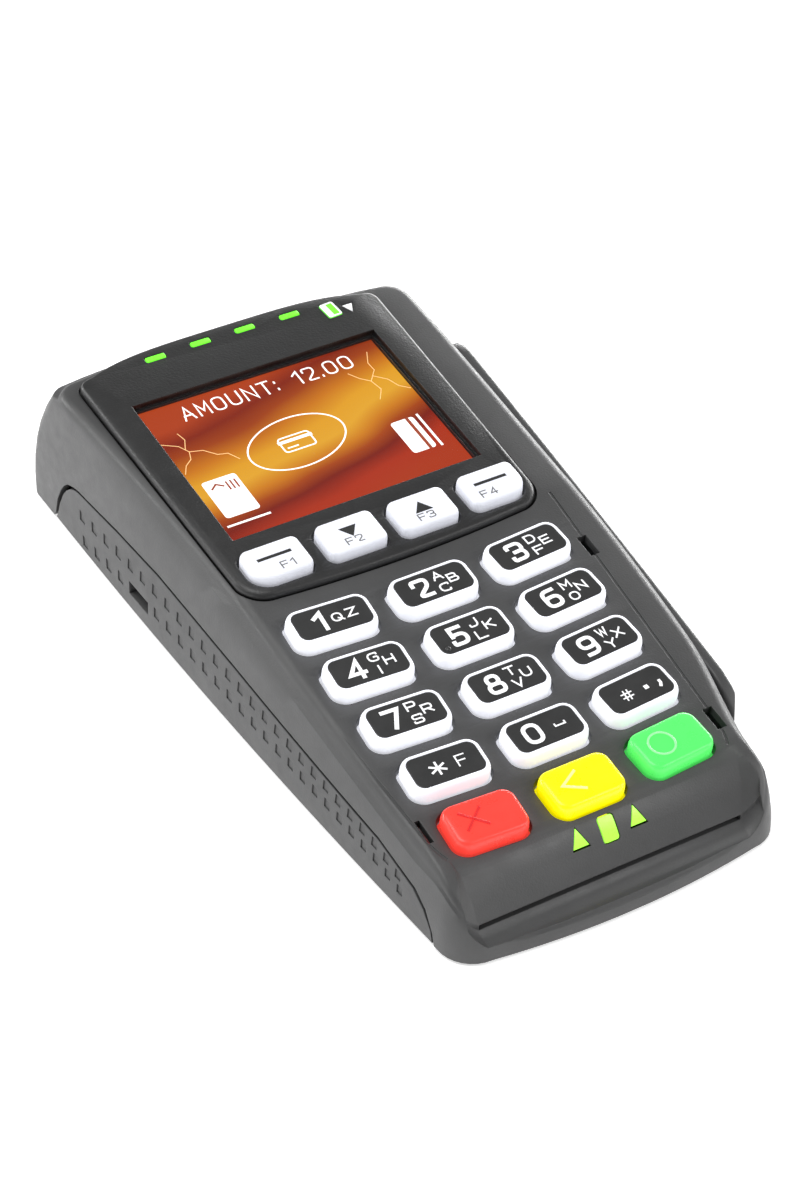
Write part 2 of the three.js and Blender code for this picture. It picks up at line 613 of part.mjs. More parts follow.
function lcdFrame() {
  const tray = bezelSlab(rect(-32.4, 32.4, 8.6, 59), -7.2, -4.5);
  return tray.subtract(bezelSlab(rect(-30.3, 30.3, 9.7, 57.3), -5.1, 1));
}

// A flat printed loop behind the bezel, around the display, for contactless cards.
function antennaCoil() {
  const low = -8.2;
  const ring = bezelSlab(rect(-31.5, 31.5, 9.5, 59), low, low + 0.6);
  return ring.subtract(bezelSlab(rect(-28.5, 28.5, 12.5, 56), low - 1, low + 2));
}

const lightPipe = (x, y) => onBezel(box(-LIGHT_SIZE[0] / 2, LIGHT_SIZE[0] / 2, -LIGHT_SIZE[1] / 2,
  LIGHT_SIZE[1] / 2, -BEZEL_THICK, 0.1), x, y);

// ---------------------------------------------------------------- inner pieces
// A sheet that follows the keypad face and then turns to follow the bezel's slope.
function keypadSheet(drop, thick, y0, y1, halfWidth) {
  const turnY = -6;
  const upper = (y) => (y < turnY ? faceZ(y) - drop : faceZ(turnY) - drop + (y - turnY) * 0.1157);
  const points = [[y0, upper(y0)], [turnY, upper(turnY)], [y1, upper(y1)], [y1, upper(y1) - thick],
    [turnY, upper(turnY) - thick], [y0, upper(y0) - thick]];
  return prismX(points, -halfWidth, halfWidth);
}

const keypadMembrane = () => keypadSheet(4.7, 1.1, -71.2, 8, 29.2);
const keypadBoard = () => keypadSheet(6.1, 1.2, -69.8, 7, 28.2);

const BOARD_Z = 9.4;
const BOARD_THICK = 1.4;
const mainBoard = () => box(-28, 28, -24, 62, BOARD_Z, BOARD_Z + BOARD_THICK);

function chipReaderFrame() {
  const body = box(-29.4, 29.4, -73.5, -27, 4.3, 7.9);
  return body.subtract(box(...SLOT_X, -80, -32, SLOT_FLOOR_Z, SLOT_TOP_Z))
    .subtract(box(-8, 8, -50, -36, 6, 9));
}

const chipContacts = () => box(-7, 7, -49.5, -36.5, SLOT_TOP_Z + GAP, 8.1);

function magHead() {
  const nose = box(HEAD.tipX - 5, HEAD.tipX, HEAD.y - HEAD.halfLength, HEAD.y + HEAD.halfLength,
    HEAD.z - HEAD.halfHeight, HEAD.z + HEAD.halfHeight);
  const round = toSolid(new THREE.CylinderGeometry(9, 9, 20, 32).rotateX(Math.PI / 2)
    .translate(HEAD.tipX - 9, HEAD.y, HEAD.z));
  return nose.intersect(round);
}

// A thin bowed leaf that presses the read head against the card.
function magSpring() {
  const [y0, y1] = [HEAD.y - 8, HEAD.y + 8];
  const thick = 0.4;
  const endX = HEAD.tipX - 6.4;
  const bowX = endX - 0.6;
  const points = [[endX - thick, y0], [endX, y0], [bowX, HEAD.y - 3], [bowX, HEAD.y + 3], [endX, y1],
    [endX - thick, y1], [bowX - thick, HEAD.y + 3], [bowX - thick, HEAD.y - 3]];
  return prismZ(points, HEAD.z - 2, HEAD.z + 2);
}

function connectorSocket() {
  const s = SOCKET;
  const rearY = 77.5;
  const body = box(-s.halfWidth + GAP, s.halfWidth - GAP, rearY - s.depth, rearY,
    s.bottom + GAP, s.bottom + s.height - GAP);
  return body.subtract(box(-5.8, 5.8, rearY - 9, rearY + 1, 4.6, s.bottom + s.height - 1.6));
}

function screw(x, y, length) {
  return cylinder(x, y, BASE_Z + 0.1, BASE_Z + 0.8, SCREW_HEAD_RADIUS)
    .add(cylinder(x, y, BASE_Z + 0.5, BASE_Z + length, SCREW_RADIUS - 0.15, 12))
    .subtract(cylinder(x, y, BASE_Z - 1, BASE_Z + 0.4, 0.9, 6));
}

function serviceCover() {
  return box(COVER.x0 + GAP, COVER.x1 - GAP, COVER.y0 + GAP, COVER.y1 - GAP, BASE_Z, BASE_Z + 0.9)
    .subtract(cylinder(0, COVER.y0 + 2.5, BASE_Z - 1, BASE_Z + 2, SCREW_RADIUS + GAP));
}

const coverScrew = () => cylinder(0, COVER.y0 + 2.5, BASE_Z + 0.02, BASE_Z + 4, SCREW_RADIUS - 0.05, 12);

// ---------------------------------------------------------------- finishes
const FINISH = {
  housing: [0x4a4a4c, 0.55, 0],
  side: [0x5a5a5c, 0.6, 0],
  bezel: [0x343638, 0.45, 0],
  glass: [0xaeb6bb, 0.08, 0],
  screen: [0xc8641e, 0.3, 0],
  frame: [0xb9bcc0, 0.4, 0.8],
  silicone: [0xd5d8da, 0.7, 0],
  board: [0x1f5a34, 0.5, 0],
  copper: [0xb87846, 0.35, 0.9],
  reader: [0x25272a, 0.6, 0],
  steel: [0xa7abb0, 0.35, 0.9],
  light: [0x5fe23a, 0.3, 0],
  marker: [0xe6e6e6, 0.5, 0],
  rubber: [0x1a1a1b, 0.9, 0],
  key: [0xe9ecf2, 0.35, 0],
};

const group = new THREE.Group();
group.position.x = BODY_X;

function addPiece(name, solid, finish, colour = FINISH[finish][0]) {
  const [, roughness, metalness] = FINISH[finish];
  const material = new THREE.MeshStandardMaterial({ color: colour, roughness, metalness });
  const mesh = new THREE.Mesh(toGeometry(solid), material);
  mesh.name = name;
  group.add(mesh);
}

addPiece('top_housing', topHousing(), 'housing');
addPiece('bottom_housing', bottomHousing(), 'side');
addPiece('swipe_rail', swipeRail(), 'housing');
addPiece('display_bezel', displayBezel(), 'bezel');
addPiece('display_window', displayWindow(), 'glass');
addPiece('lcd_panel', lcdPanel(), 'screen');
addPiece('lcd_frame', lcdFrame(), 'frame');
addPiece('antenna_coil', antennaCoil(), 'copper');
LIGHTS.forEach(([x, y], i) => addPiece(`contactless_light_${i + 1}`, lightPipe(x, y), 'light'));
addPiece('swipe_indicator', onBezel(box(-SWIPE_ICON.width / 2, SWIPE_ICON.width / 2, -SWIPE_ICON.depth / 2,
  SWIPE_ICON.depth / 2, -BEZEL_THICK, 0.1), SWIPE_ICON.x, SWIPE_ICON.y, SWIPE_ICON.turn), 'light');
addPiece('swipe_arrow', onBezel(prismZ(triangle(SWIPE_ARROW.size), -BEZEL_THICK, 0.1),
  SWIPE_ARROW.x, SWIPE_ARROW.y, Math.PI), 'marker');

const belowFall = envelope({}).subtract(frontCut());
for (const light of CARD_LIGHTS) {
  addPiece(light.name, cardLightPrism(light, 0, -WALL, 6).intersect(belowFall), 'light');
}

for (const key of keySpecs()) {
  const solid = keySolid({
    width: key.width,
    depth: key.depth,
    radius: key.radius,
    proud: KEY_PROUD,
    thick: 1.6,
    flangeTop: -WALL - 0.1 - key.flangeDrop,
  });
  addPiece(key.name, onFace(solid, key.x, key.y, key.turn), 'key', key.colour);
}
for (const key of functionKeySpecs()) {
  const solid = keySolid({
    width: FUNCTION_SIZE[0],
    depth: FUNCTION_SIZE[1],
    radius: key.radius,
    proud: FUNCTION_KEY_PROUD,
    thick: 1.5,
    flangeTop: -BEZEL_THICK - WALL + 0.4,
  });
  addPiece(key.name, onBezel(solid, key.x, key.y), 'key');
}

addPiece('keypad_membrane', keypadMembrane(), 'silicone');
addPiece('keypad_board', keypadBoard(), 'board');
addPiece('main_board', mainBoard(), 'board');
addPiece('security_shield', box(-14, 14, 22, 46, BOARD_Z + BOARD_THICK + GAP, BOARD_Z + 4.6), 'steel');
addPiece('buzzer', cylinder(18, -10, BOARD_Z + BOARD_THICK + GAP, BOARD_Z + 4.4, 5, 20), 'reader');
addPiece('backup_battery', cylinder(-17, 4, BOARD_Z + BOARD_THICK + GAP, BOARD_Z + 4.6, 6.2, 24), 'steel');
addPiece('sam_socket', box(-11, 11, 19, 36, 5.6, BOARD_Z - GAP), 'reader');
addPiece('chip_reader_frame', chipReaderFrame(), 'reader');
addPiece('chip_contact_block', chipContacts(), 'copper');
addPiece('mag_head', magHead(), 'steel');
addPiece('mag_head_spring', magSpring(), 'steel');
addPiece('connector_socket', connectorSocket(), 'reader');
addPiece('service_cover', serviceCover(), 'side');
addPiece('service_cover_screw', coverScrew(), 'steel');
const footNames = ['foot_rear_left', 'foot_rear_right', 'foot_front_left', 'foot_front_right'];
FEET.forEach(([x, y], i) => {
  addPiece(footNames[i], cylinder(x, y, 0, BASE_Z + 0.2, FOOT_RADIUS, 20), 'rubber');
});
const screwNames = ['screw_rear_left', 'screw_rear_right', 'screw_front_left', 'screw_front_right'];
SCREWS.forEach(([x, y], i) => addPiece(screwNames[i], screw(x, y, y > 0 ? 12 : 7), 'steel'));

export default group;
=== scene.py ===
import math

import bpy
import numpy as np
from mathutils import Euler, Matrix, Vector


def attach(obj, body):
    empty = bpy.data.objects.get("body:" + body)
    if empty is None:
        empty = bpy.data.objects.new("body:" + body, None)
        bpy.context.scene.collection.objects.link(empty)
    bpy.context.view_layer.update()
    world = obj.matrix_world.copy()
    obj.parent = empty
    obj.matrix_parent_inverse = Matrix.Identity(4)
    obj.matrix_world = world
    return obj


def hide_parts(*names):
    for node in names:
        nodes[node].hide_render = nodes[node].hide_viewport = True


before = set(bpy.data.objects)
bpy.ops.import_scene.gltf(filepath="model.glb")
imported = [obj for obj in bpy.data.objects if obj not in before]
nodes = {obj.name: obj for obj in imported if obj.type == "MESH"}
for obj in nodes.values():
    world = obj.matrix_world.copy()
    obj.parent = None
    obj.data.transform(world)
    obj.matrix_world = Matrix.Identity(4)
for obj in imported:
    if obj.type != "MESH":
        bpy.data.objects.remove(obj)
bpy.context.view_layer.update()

# ---- dimensions, in millimetres
# They repeat the CAD part's, so that each finer piece lies where its CAD node is. x = 0 is the
# keypad's centre plane; BODY_X moves it to the frame's origin.
MM = 0.001
BODY_X = -3.35
REAR_Y, FRONT_Y = 83.5, -83.5
BASE_Z = 0.6
HALF_WIDTH = 38.9
BODY_CENTRE_X = 0.45
RAIL_OUTER_X, RAIL_INNER_X = 45.6, 43.0
SWIPE_WALL_X = 41.5
SWELL, SWELL_Y = 2.2, (-70, -44)    # how far the right side stands out, and where it starts
REAR_SWELL, REAR_SWELL_Y = 0.6, (-30, 50)
WALL = 1.8
WALL_CURVE = 2.1
GAP = 0.3
FACE_TILT, FACE_Z0 = math.atan(0.1584), 26.67
BEZEL_TILT, BEZEL_Z0 = math.atan(0.1157), 27.75
SHOULDER_SLOPE = 0.104
FALL_START_Y, SLOT_Y = -69, -78
SLOT_TOP_Z, SLOT_FLOOR_Z, SLOT_X = 6.5, 5.4, (-28, 26.8)
CHEEK_START_Y, CHEEK_END_Y = -68, -81.6
CHEEK_CURVE = 2.8
FACE_SPREAD_LEFT, FACE_SPREAD_RIGHT = 1.5, 2.8
CHEEK_SLOPE_LEFT, CHEEK_SLOPE_RIGHT, CHEEK_SLOPE_HEIGHT = 2.8, 3.8, 2.8
LIP_Z, LIP_EDGE_Z = 4.4, 4.0
LIP_PROFILE = [(-78.02, 5.4), (-78.4, 4.95), (-78.8, 4.6), (-79.3, 4.28), (-79.8, 4.05), (-80.5, 3.85),
               (-81.2, 3.76), (-81.8, 3.76), (-82.4, 3.85), (-82.8, 3.96), (-83.1, 4.1), (-85.5, 4.9)]
INNER_FRONT_Y = -77.4
BEZEL_THICK = 2.0
WINDOW_HALF_X, WINDOW_Y = 27.4, (12.1, 54.6)
KEY_PROUD = 2.5
HOLE_GAP = 0.45
SEAM = 0.75                         # dark line round the lower housing's side panels
ABOVE_ALL = 60
LEFT_TURN, RIGHT_TURN = math.radians(-3.3), math.radians(3.8)
RIM = 1.0


def face_z(y):
    return FACE_Z0 + math.tan(FACE_TILT) * y


def bezel_z(y):
    return BEZEL_Z0 + math.tan(BEZEL_TILT) * y


def shoulder_z(y):
    return face_z(y) if y < 0 else FACE_Z0 + SHOULDER_SLOPE * y


def edge_z(y):
    """Height of the housing's edge along its sides, down over the cheeks to the lip."""
    if y >= CHEEK_START_Y:
        return shoulder_z(y)
    if y >= CHEEK_END_Y:
        s = (CHEEK_START_Y - y) / (CHEEK_START_Y - CHEEK_END_Y)
        return shoulder_z(y) - (shoulder_z(CHEEK_END_Y) - LIP_Z) * s ** CHEEK_CURVE
    return LIP_Z + (LIP_EDGE_Z - LIP_Z) * (CHEEK_END_Y - y) / (CHEEK_END_Y - FRONT_Y)


def fall_z(y):
    """Height of the middle of the top, which curves down to the card slot."""
    if y >= FALL_START_Y:
        return shoulder_z(y)
    s = (FALL_START_Y - y) / (FALL_START_Y - SLOT_Y)
    return shoulder_z(y) - (face_z(SLOT_Y) - SLOT_TOP_Z) * s ** 2


def base_half_width(y):
    return HALF_WIDTH + BODY_CENTRE_X - 0.00028 * max(0, 57 - y) ** 2


def edge_half_width(y):
    return BODY_CENTRE_X + (34 - 0.0003 * y * y if y < 0 else 34 + 4.0 * (y / 62) ** 1.5)


def share(value, start, end):
    """How far value has come from start to end, kept between 0 and 1."""
    return min(1, max(0, (value - start) / (end - start)))


def edge_round(y):
    """Radius of the rounding along the body's upper edge, tighter over the cheeks."""
    return 1.2 + 1.4 * share(y, -76, -66)


def head_bulge(y):
    return 3.5 * max(0, 1 - ((y + 2) / 68) ** 2)


def right_swell(y):
    """How much further out the whole right side stands than the left."""
    t = share(y, *SWELL_Y)
    return t * t * (3 - 2 * t) * (SWELL + REAR_SWELL * share(y, *REAR_SWELL_Y))


def swipe_floor_z(y):
    return face_z(y) - 17


# ---- solids as (points, faces)
def spread(start, end, steps, first=0):
    """Evenly spaced values from start to end, without those before the first."""
    return [start + (end - start) * k / steps for k in range(first, steps + 1)]


def arc(x, y, radius, start, end, steps, first=0):
    """Points of an arc about (x, y). Its ends are given in quarter turns."""
    angles = [math.pi / 2 * quarters for quarters in spread(start, end, steps, first)]
    return [(x + radius * math.cos(a), y + radius * math.sin(a)) for a in angles]


def ring_solid(rings, strips=False):
    """A closed solid through rings that run anticlockwise seen from above, lowest first."""
    count = len(rings[0])
    points = [p for ring in rings for p in ring]
    faces = []
    for k in range(len(rings) - 1):
        for i in range(count):
            a, b = k * count + i, k * count + (i + 1) % count
            faces.append((a, b, b + count, a + count))
    top = (len(rings) - 1) * count
    if strips:
        for i in range(count // 2 - 1):
            a, b, c, d = i, i + 1, count - 2 - i, count - 1 - i
            faces.append((a, d, c, b))
            faces.append((top + a, top + b, top + c, top + d))
    else:
        faces.append(tuple(reversed(range(count))))
        faces.append(tuple(range(top, top + count)))
    return points, faces


def prism_z(points, low, high):
    return ring_solid([[(x, y, z) for x, y in points] for z in (low, high)])


def prism_x(points, x0, x1):
    """A prism along X from an outline of (y, z) points, anticlockwise seen from +X."""
    return ring_solid([[(x, y, z) for y, z in points] for x in (x0, x1)])


def box(x0, x1, y0, y1, z0, z1):
    return prism_z(rect(x0, x1, y0, y1), z0, z1)


def rect(x0, x1, y0, y1):
    return [(x0, y0), (x1, y0), (x1, y1), (x0, y1)]


def rounded_rect(width, depth, radii, steps=7):
    """(x, y) points, anticlockwise. radii: one, or rear right, rear left, front left, front right."""
    if not isinstance(radii, (list, tuple)):
        radii = [radii] * 4
    points = []
    signs = [(1, 1), (-1, 1), (-1, -1), (1, -1)]
    for quarter, ((sx, sy), r) in enumerate(zip(signs, radii)):
        points += arc(sx * (width / 2 - r), sy * (depth / 2 - r), r, quarter, quarter + 1, steps - 1)
    return points


def moved(solid, matrix):
    points, faces = solid
    return [tuple(matrix @ Vector(p)) for p in points], faces


def on_plane(solid, x, y, z, tilt, turn=0.0):
    tilted, turned = [Euler(angles).to_matrix().to_4x4() for angles in ((tilt, 0, 0), (0, 0, turn))]
    return moved(solid, Matrix.Translation((x, y, z)) @ tilted @ turned)


def on_face(solid, x, y, turn=0.0):
    return on_plane(solid, x, y, face_z(y), FACE_TILT, turn)


def on_bezel(solid, x, y, turn=0.0):
    return on_plane(solid, x, y, bezel_z(y), BEZEL_TILT, turn)


def bezel_slab(points, low, high):
    """A plan outline at true y, pressed onto the bezel plane between two heights."""
    flat = [(x, y / math.cos(BEZEL_TILT)) for x, y in points]
    return on_plane(prism_z(flat, low, high), 0, 0, BEZEL_Z0, BEZEL_TILT)


def lathe(profile, x, y, sides):
    """A solid of revolution about an upright axis from (radius, z) points, lowest first."""
    return ring_solid([[(px, py, z) for px, py in arc(x, y, radius, 0, 4, sides)[:-1]]
                       for radius, z in profile])


def joined(solids):
    points, faces = [], []
    for more_points, more_faces in solids:
        start = len(points)
        points += list(more_points)
        faces += [tuple(i + start for i in face) for face in more_faces]
    return points, faces


# ---- objects
def to_object(name, solid):
    """A Blender object from a solid in millimetres, with its origin at the frame's."""
    points, faces = solid
    mesh = bpy.data.meshes.new(name)
    mesh.from_pydata([((x + BODY_X) * MM, y * MM, z * MM) for x, y, z in points], [], faces)
    mesh.update()
    made = bpy.data.objects.new(name, mesh)
    bpy.context.scene.collection.objects.link(made)
    return made


def bake(piece):
    """Replaces the piece's mesh by the result of its modifiers."""
    graph = bpy.context.evaluated_depsgraph_get()
    mesh = bpy.data.meshes.new_from_object(piece.evaluated_get(graph))
    piece.modifiers.clear()
    piece.data = mesh


def combine(target, tools, operation="DIFFERENCE"):
    """Cuts solids or objects from target one after another, or adds or intersects them."""
    made = []
    for tool in tools:
        if isinstance(tool, tuple):
            tool = to_object("tool", tool)
            made.append(tool)
        modifier = target.modifiers.new("combine", "BOOLEAN")
        modifier.operation = operation
        modifier.solver = "MANIFOLD"
        modifier.object = tool
    bake(target)
    remove(*made)


def remove(*objects):
    for tool in objects:
        bpy.data.objects.remove(tool)


def place(piece, material, replaced=(), body="terminal", angle=32):
    """Gives a finished piece its material, the CAD nodes it stands for and its body."""
    piece.data.shade_smooth()
    piece.data.set_sharp_from_angle(angle=math.radians(angle))
    piece.data.materials.clear()
    piece.data.materials.append(material)
    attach(piece, body)
    if replaced:
        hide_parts(*replaced)


def add_piece(name, solid, material, replaced=(), body="terminal", cuts=(), angle=32):
    """A finished piece made of one solid, less its cuts."""
    piece = to_object(name, solid)
    if cuts:
        combine(piece, cuts)
    place(piece, material, replaced, body, angle)


# ---- camera
CAMERA_AT = Vector((-213.75, -362.2, 350.6)) * MM
CAMERA_RIGHT = Vector((0.86364, -0.50410, 0.00218))
CAMERA_BACK = Vector((-0.39332, -0.67113, 0.62840))
LENS_MM = 84

camera_data = bpy.data.cameras.new("camera")
camera_data.lens = LENS_MM
camera_data.sensor_width = 36
camera_data.clip_start, camera_data.clip_end = 0.01, 20
camera = bpy.data.objects.new("camera", camera_data)
bpy.context.scene.collection.objects.link(camera)
back = CAMERA_BACK.normalized()
right = (CAMERA_RIGHT - back * CAMERA_RIGHT.dot(back)).normalized()
up = back.cross(right)
turn = Matrix((right, up, back)).transposed().to_4x4()
camera.matrix_world = Matrix.Translation(CAMERA_AT) @ turn
bpy.context.scene.camera = camera


# ---- materials
def new_material(name):
    made = bpy.data.materials.new(name)
    made.use_nodes = True
    return made, made.node_tree, made.node_tree.nodes["Principled BSDF"]


def feed(tree, socket, value):
    """Links value to an input if it is another node's output, otherwise sets it."""
    if isinstance(value, bpy.types.NodeSocket):
        tree.links.new(value, socket)
    else:
        socket.default_value = (*value, 1) if socket.type == "RGBA" else value


def fill(tree, node, **values):
    """Gives a node its settings and its inputs. In an input's name, _ stands for a space."""
    for key, value in values.items():
        if hasattr(node, key):
            setattr(node, key, value)
        else:
            feed(tree, node.inputs[key.replace("_", " ")], value)
    return node


def add(tree, kind, **values):
    return fill(tree, tree.nodes.new("ShaderNode" + kind), **values)


def own_place(tree):
    return add(tree, "TexCoord").outputs["Object"]


def noise(tree, scale, detail=3.0, roughness=0.5):
    node = add(tree, "TexNoise", Vector=own_place(tree), Scale=scale, Detail=detail,
               Roughness=roughness)
    return node.outputs["Fac"]


def mapped(tree, value, low, high, start=0.3, end=0.7):
    """value from start..end to low..high. Most noise lies in 0.3..0.7."""
    node = add(tree, "MapRange", From_Min=start, From_Max=end, To_Min=low, To_Max=high, Value=value)
    return node.outputs["Result"]


def mixed(tree, factor, first, second, blend="MIX"):
    node = add(tree, "Mix", data_type="RGBA", blend_type=blend, Factor=factor, A=first, B=second)
    return node.outputs["Result"]


def mottled(tree, scale, detail, first, second):
    """A slow change between two colours."""
    return mixed(tree, mapped(tree, noise(tree, scale, detail), 0, 1), first, second)


def maths(tree, operation, *values):
    node = add(tree, "Math", operation=operation)
    for socket, value in zip(node.inputs, values):
        feed(tree, socket, value)
    return node.outputs[0]


def bumped(tree, height, distance):
    return add(tree, "Bump", Strength=1, Distance=distance, Height=height)


def grey(level):
    return (level, level * 1.003, level * 1.012)


def scaled(colour, factor):
    return tuple(min(1, c * factor) for c in colour)


def moulded(name, colour, roughness=0.5, grain=2600, depth=0.000035, variation=0.09,
            rounding=0.00025, crevice_shade_reach=0.0, glow=None, glow_strength=0.0):
    """Moulded plastic: fine spark-eroded grain, a slow change of tone, faint handling marks, and, if
    asked for, painted shade that darkens the colour in its crevices, seams, grooves and recesses.
    """
    made, tree, shader = new_material(name)
    tone = mottled(tree, 55, 4.0, scaled(colour, 1 - variation), scaled(colour, 1 + variation))
    # Painted shade: ambient occlusion darkens the base colour in crevices, seams, grooves and round
    # key holes, where shade falls.
    if crevice_shade_reach:
        shade = add(tree, "AmbientOcclusion", samples=6, Distance=crevice_shade_reach).outputs["AO"]
        dark = mixed(tree, mapped(tree, shade, 0, 1, 0.25, 0.75), (0.002, 0.002, 0.002), (1, 1, 1))
        tone = mixed(tree, 1, tone, dark, "MULTIPLY")
    marks = mapped(tree, noise(tree, 240, 6.0, 0.7), roughness - 0.07, roughness + 0.07)
    surface = bumped(tree, noise(tree, grain, 2.0, 0.6), depth)
    if rounding:
        edge = add(tree, "Bevel", samples=4, Radius=rounding)
        fill(tree, surface, Normal=edge.outputs["Normal"])
    fill(tree, shader, Base_Color=tone, Roughness=marks, Normal=surface.outputs["Normal"])
    if glow:
        fill(tree, shader, Emission_Color=mottled(tree, 160, 2.0, scaled(glow, 0.9), glow),
             Emission_Strength=glow_strength)
    return made


def key_plastic(name, colour, glow, strength, variation=0.03, roughness=0.3):
    """Smooth plastic with some light behind it."""
    return moulded(name, colour, roughness, 3000, 0.00001, variation, glow=glow,
                   glow_strength=strength)


def lit_plastic(name, colour, glow, strength):
    return moulded(name, colour, 0.3, 2500, 0.00002, 0.1, 0, glow=glow, glow_strength=strength)


def printed(name, colour, roughness, variation=0.09, glow=None, strength=0.0):
    """A thin print, or what the screen shows."""
    return moulded(name, colour, roughness, 5000, 0.000005, variation, 0, glow=glow,
                   glow_strength=strength)


def metal(name, colour, roughness=0.35):
    """Drawn or turned metal with fine lines along one way."""
    made, tree, shader = new_material(name)
    drawn = add(tree, "Mapping", Scale=(400, 12, 12), Vector=own_place(tree)).outputs["Vector"]
    lines = add(tree, "TexNoise", Vector=drawn, Scale=6, Detail=5).outputs["Fac"]
    fill(tree, shader, Base_Color=mottled(tree, 90, 3.0, scaled(colour, 0.86), colour), Metallic=1,
         Roughness=mapped(tree, lines, roughness - 0.1, roughness + 0.12),
         Normal=bumped(tree, lines, 0.00002).outputs["Normal"])
    return made


def printed_board(name):
    """A circuit board: solder mask over raised tracks, with bare copper pads."""
    made, tree, shader = new_material(name)
    where = own_place(tree)
    cells, pads = [add(tree, "TexVoronoi", Scale=scale, distance=distance, Vector=where)
                   .outputs["Distance"] for scale, distance in ((420, "MANHATTAN"),
                                                                (260, "CHEBYCHEV"))]
    mask = mixed(tree, cells, (0.01, 0.09, 0.035), (0.015, 0.16, 0.06))
    is_pad = maths(tree, "LESS_THAN", pads, 0.14)
    fill(tree, shader, Base_Color=mixed(tree, is_pad, mask, (0.72, 0.52, 0.28)),
         Roughness=mapped(tree, noise(tree, 300), 0.25, 0.45),
         Normal=bumped(tree, cells, 0.0001).outputs["Normal"])
    return made


# The housing, lower housing and bezel take the painted crevice shade.
HOUSING = moulded("housing_plastic", grey(0.068), 0.44, crevice_shade_reach=0.0012)
PANEL = moulded("lower_housing_plastic", grey(0.072), 0.5, crevice_shade_reach=0.0012)
BEZEL = moulded("bezel_plastic", grey(0.02), 0.42, 1900, 0.00006, crevice_shade_reach=0.001)
BLACK = moulded("black_resin", grey(0.012), 0.5)
LABEL = moulded("key_label", grey(0.031), 0.36, 4000, 0.00001, rounding=0)
KEY_WHITE = key_plastic("key_white", (0.86, 0.88, 0.95), (0.93, 0.94, 1.0), 0.55, 0.02, 0.34)
FUNCTION_WHITE = key_plastic("function_key_white", (0.84, 0.86, 0.93), (0.9, 0.91, 1.0), 0.22,
                             0.02, 0.38)
KEY_RED = key_plastic("key_red", (0.78, 0.03, 0.02), (1.0, 0.07, 0.05), 0.6, 0.05)
KEY_YELLOW = key_plastic("key_yellow", (0.9, 0.82, 0.0), (1.0, 0.88, 0.0), 0.6, 0.04)
KEY_GREEN = key_plastic("key_green", (0.08, 0.72, 0.12), (0.09, 0.9, 0.14), 0.5, 0.05)
MARK_RED = key_plastic("mark_red", (0.6, 0.02, 0.02), (0.7, 0.02, 0.02), 0.45)
# The yellow and green marks are paler than their keys and glow more: partly their own paler colour,
# partly painted highlight standing in for light catching the raised marks' edges.
MARK_YELLOW = key_plastic("mark_yellow", (0.95, 0.9, 0.2), (1.0, 0.95, 0.3), 0.8)
MARK_GREEN = key_plastic("mark_green", (0.25, 0.85, 0.28), (0.26, 1.0, 0.3), 0.62)
LIGHT_GREEN = lit_plastic("light_green", (0.12, 0.75, 0.03), (0.18, 0.95, 0.04), 0.9)
CARD_LIGHT = lit_plastic("card_light_green", (0.3, 0.8, 0.04), (0.38, 0.95, 0.07), 0.85)
LEGEND_WHITE = printed("legend_white", (0.85, 0.86, 0.88), 0.45, 0.03, (1, 1, 1), 0.4)
LEGEND_GREY = printed("legend_grey", grey(0.2), 0.45)
LEGEND_DARK = printed("legend_dark", grey(0.02), 0.45)
SCREEN_WHITE = printed("screen_white", (0.9, 0.9, 0.9), 0.4, 0.02, (1.0, 0.99, 0.95), 0.9)
SCREEN_LINE = printed("screen_line", (0.9, 0.5, 0.2), 0.4, 0.05, (1.0, 0.66, 0.3), 0.8)
SCREEN_DARK = printed("screen_dark", (0.3, 0.05, 0.02), 0.4, 0.05, (0.5, 0.1, 0.04), 0.35)
RUBBER = moulded("rubber", grey(0.018), 0.85, 1500, 0.00008, rounding=0)
SILICONE = moulded("silicone", (0.5, 0.52, 0.54), 0.7, 1200, 0.00004)
STEEL = metal("steel", (0.55, 0.56, 0.58))
COPPER = metal("copper", (0.75, 0.4, 0.22), 0.3)
BOARD = printed_board("circuit_board")


def display_picture(name):
    """A warm blurred backdrop: a bright band across it, dark red above and below."""
    made, tree, shader = new_material(name)
    width, depth = 54, 41
    flat = add(tree, "Mapping", Location=((width / 2 - BODY_X) / width, -14 / depth, 0),
               Scale=(1000 / width, 1000 / depth, 0), Vector=own_place(tree)).outputs["Vector"]
    split = add(tree, "SeparateXYZ", Vector=flat)
    across, along = split.outputs["X"], split.outputs["Y"]
    cloud = add(tree, "TexNoise", Scale=1.7, Detail=1.5, Vector=flat).outputs["Fac"]
    tilt = maths(tree, "MULTIPLY", maths(tree, "SUBTRACT", across, 0.5), -0.34)
    sag = maths(tree, "SINE", maths(tree, "MULTIPLY", across, 3.1))
    sag = maths(tree, "MULTIPLY", sag, 0.05)
    band = maths(tree, "ADD", maths(tree, "ADD", along, tilt), sag)
    waves = maths(tree, "MULTIPLY", maths(tree, "SUBTRACT", cloud, 0.5), 0.2)
    ramp = add(tree, "ValToRGB")
    stops = [(0.0, (0.50, 0.045, 0.008)), (0.12, (0.50, 0.035, 0.007)),
             (0.22, (0.24, 0.012, 0.003)), (0.30, (0.46, 0.07, 0.004)),
             (0.38, (0.74, 0.24, 0.010)), (0.48, (0.94, 0.46, 0.03)), (0.58, (0.92, 0.42, 0.02)),
             (0.68, (0.72, 0.22, 0.008)), (0.79, (0.42, 0.06, 0.004)),
             (0.88, (0.28, 0.02, 0.003)), (1.0, (0.52, 0.06, 0.01))]
    while len(ramp.color_ramp.elements) < len(stops):
        ramp.color_ramp.elements.new(0.5)
    for element, (position, colour) in zip(ramp.color_ramp.elements, stops):
        element.position = position
        element.color = (*colour, 1)
    tree.links.new(maths(tree, "ADD", band, waves), ramp.inputs["Fac"])
    fill(tree, shader, Emission_Color=ramp.outputs["Color"], Emission_Strength=0.95,
         Base_Color=(0.01, 0.01, 0.01), Roughness=0.35, Specular_IOR_Level=0.1)
    return made


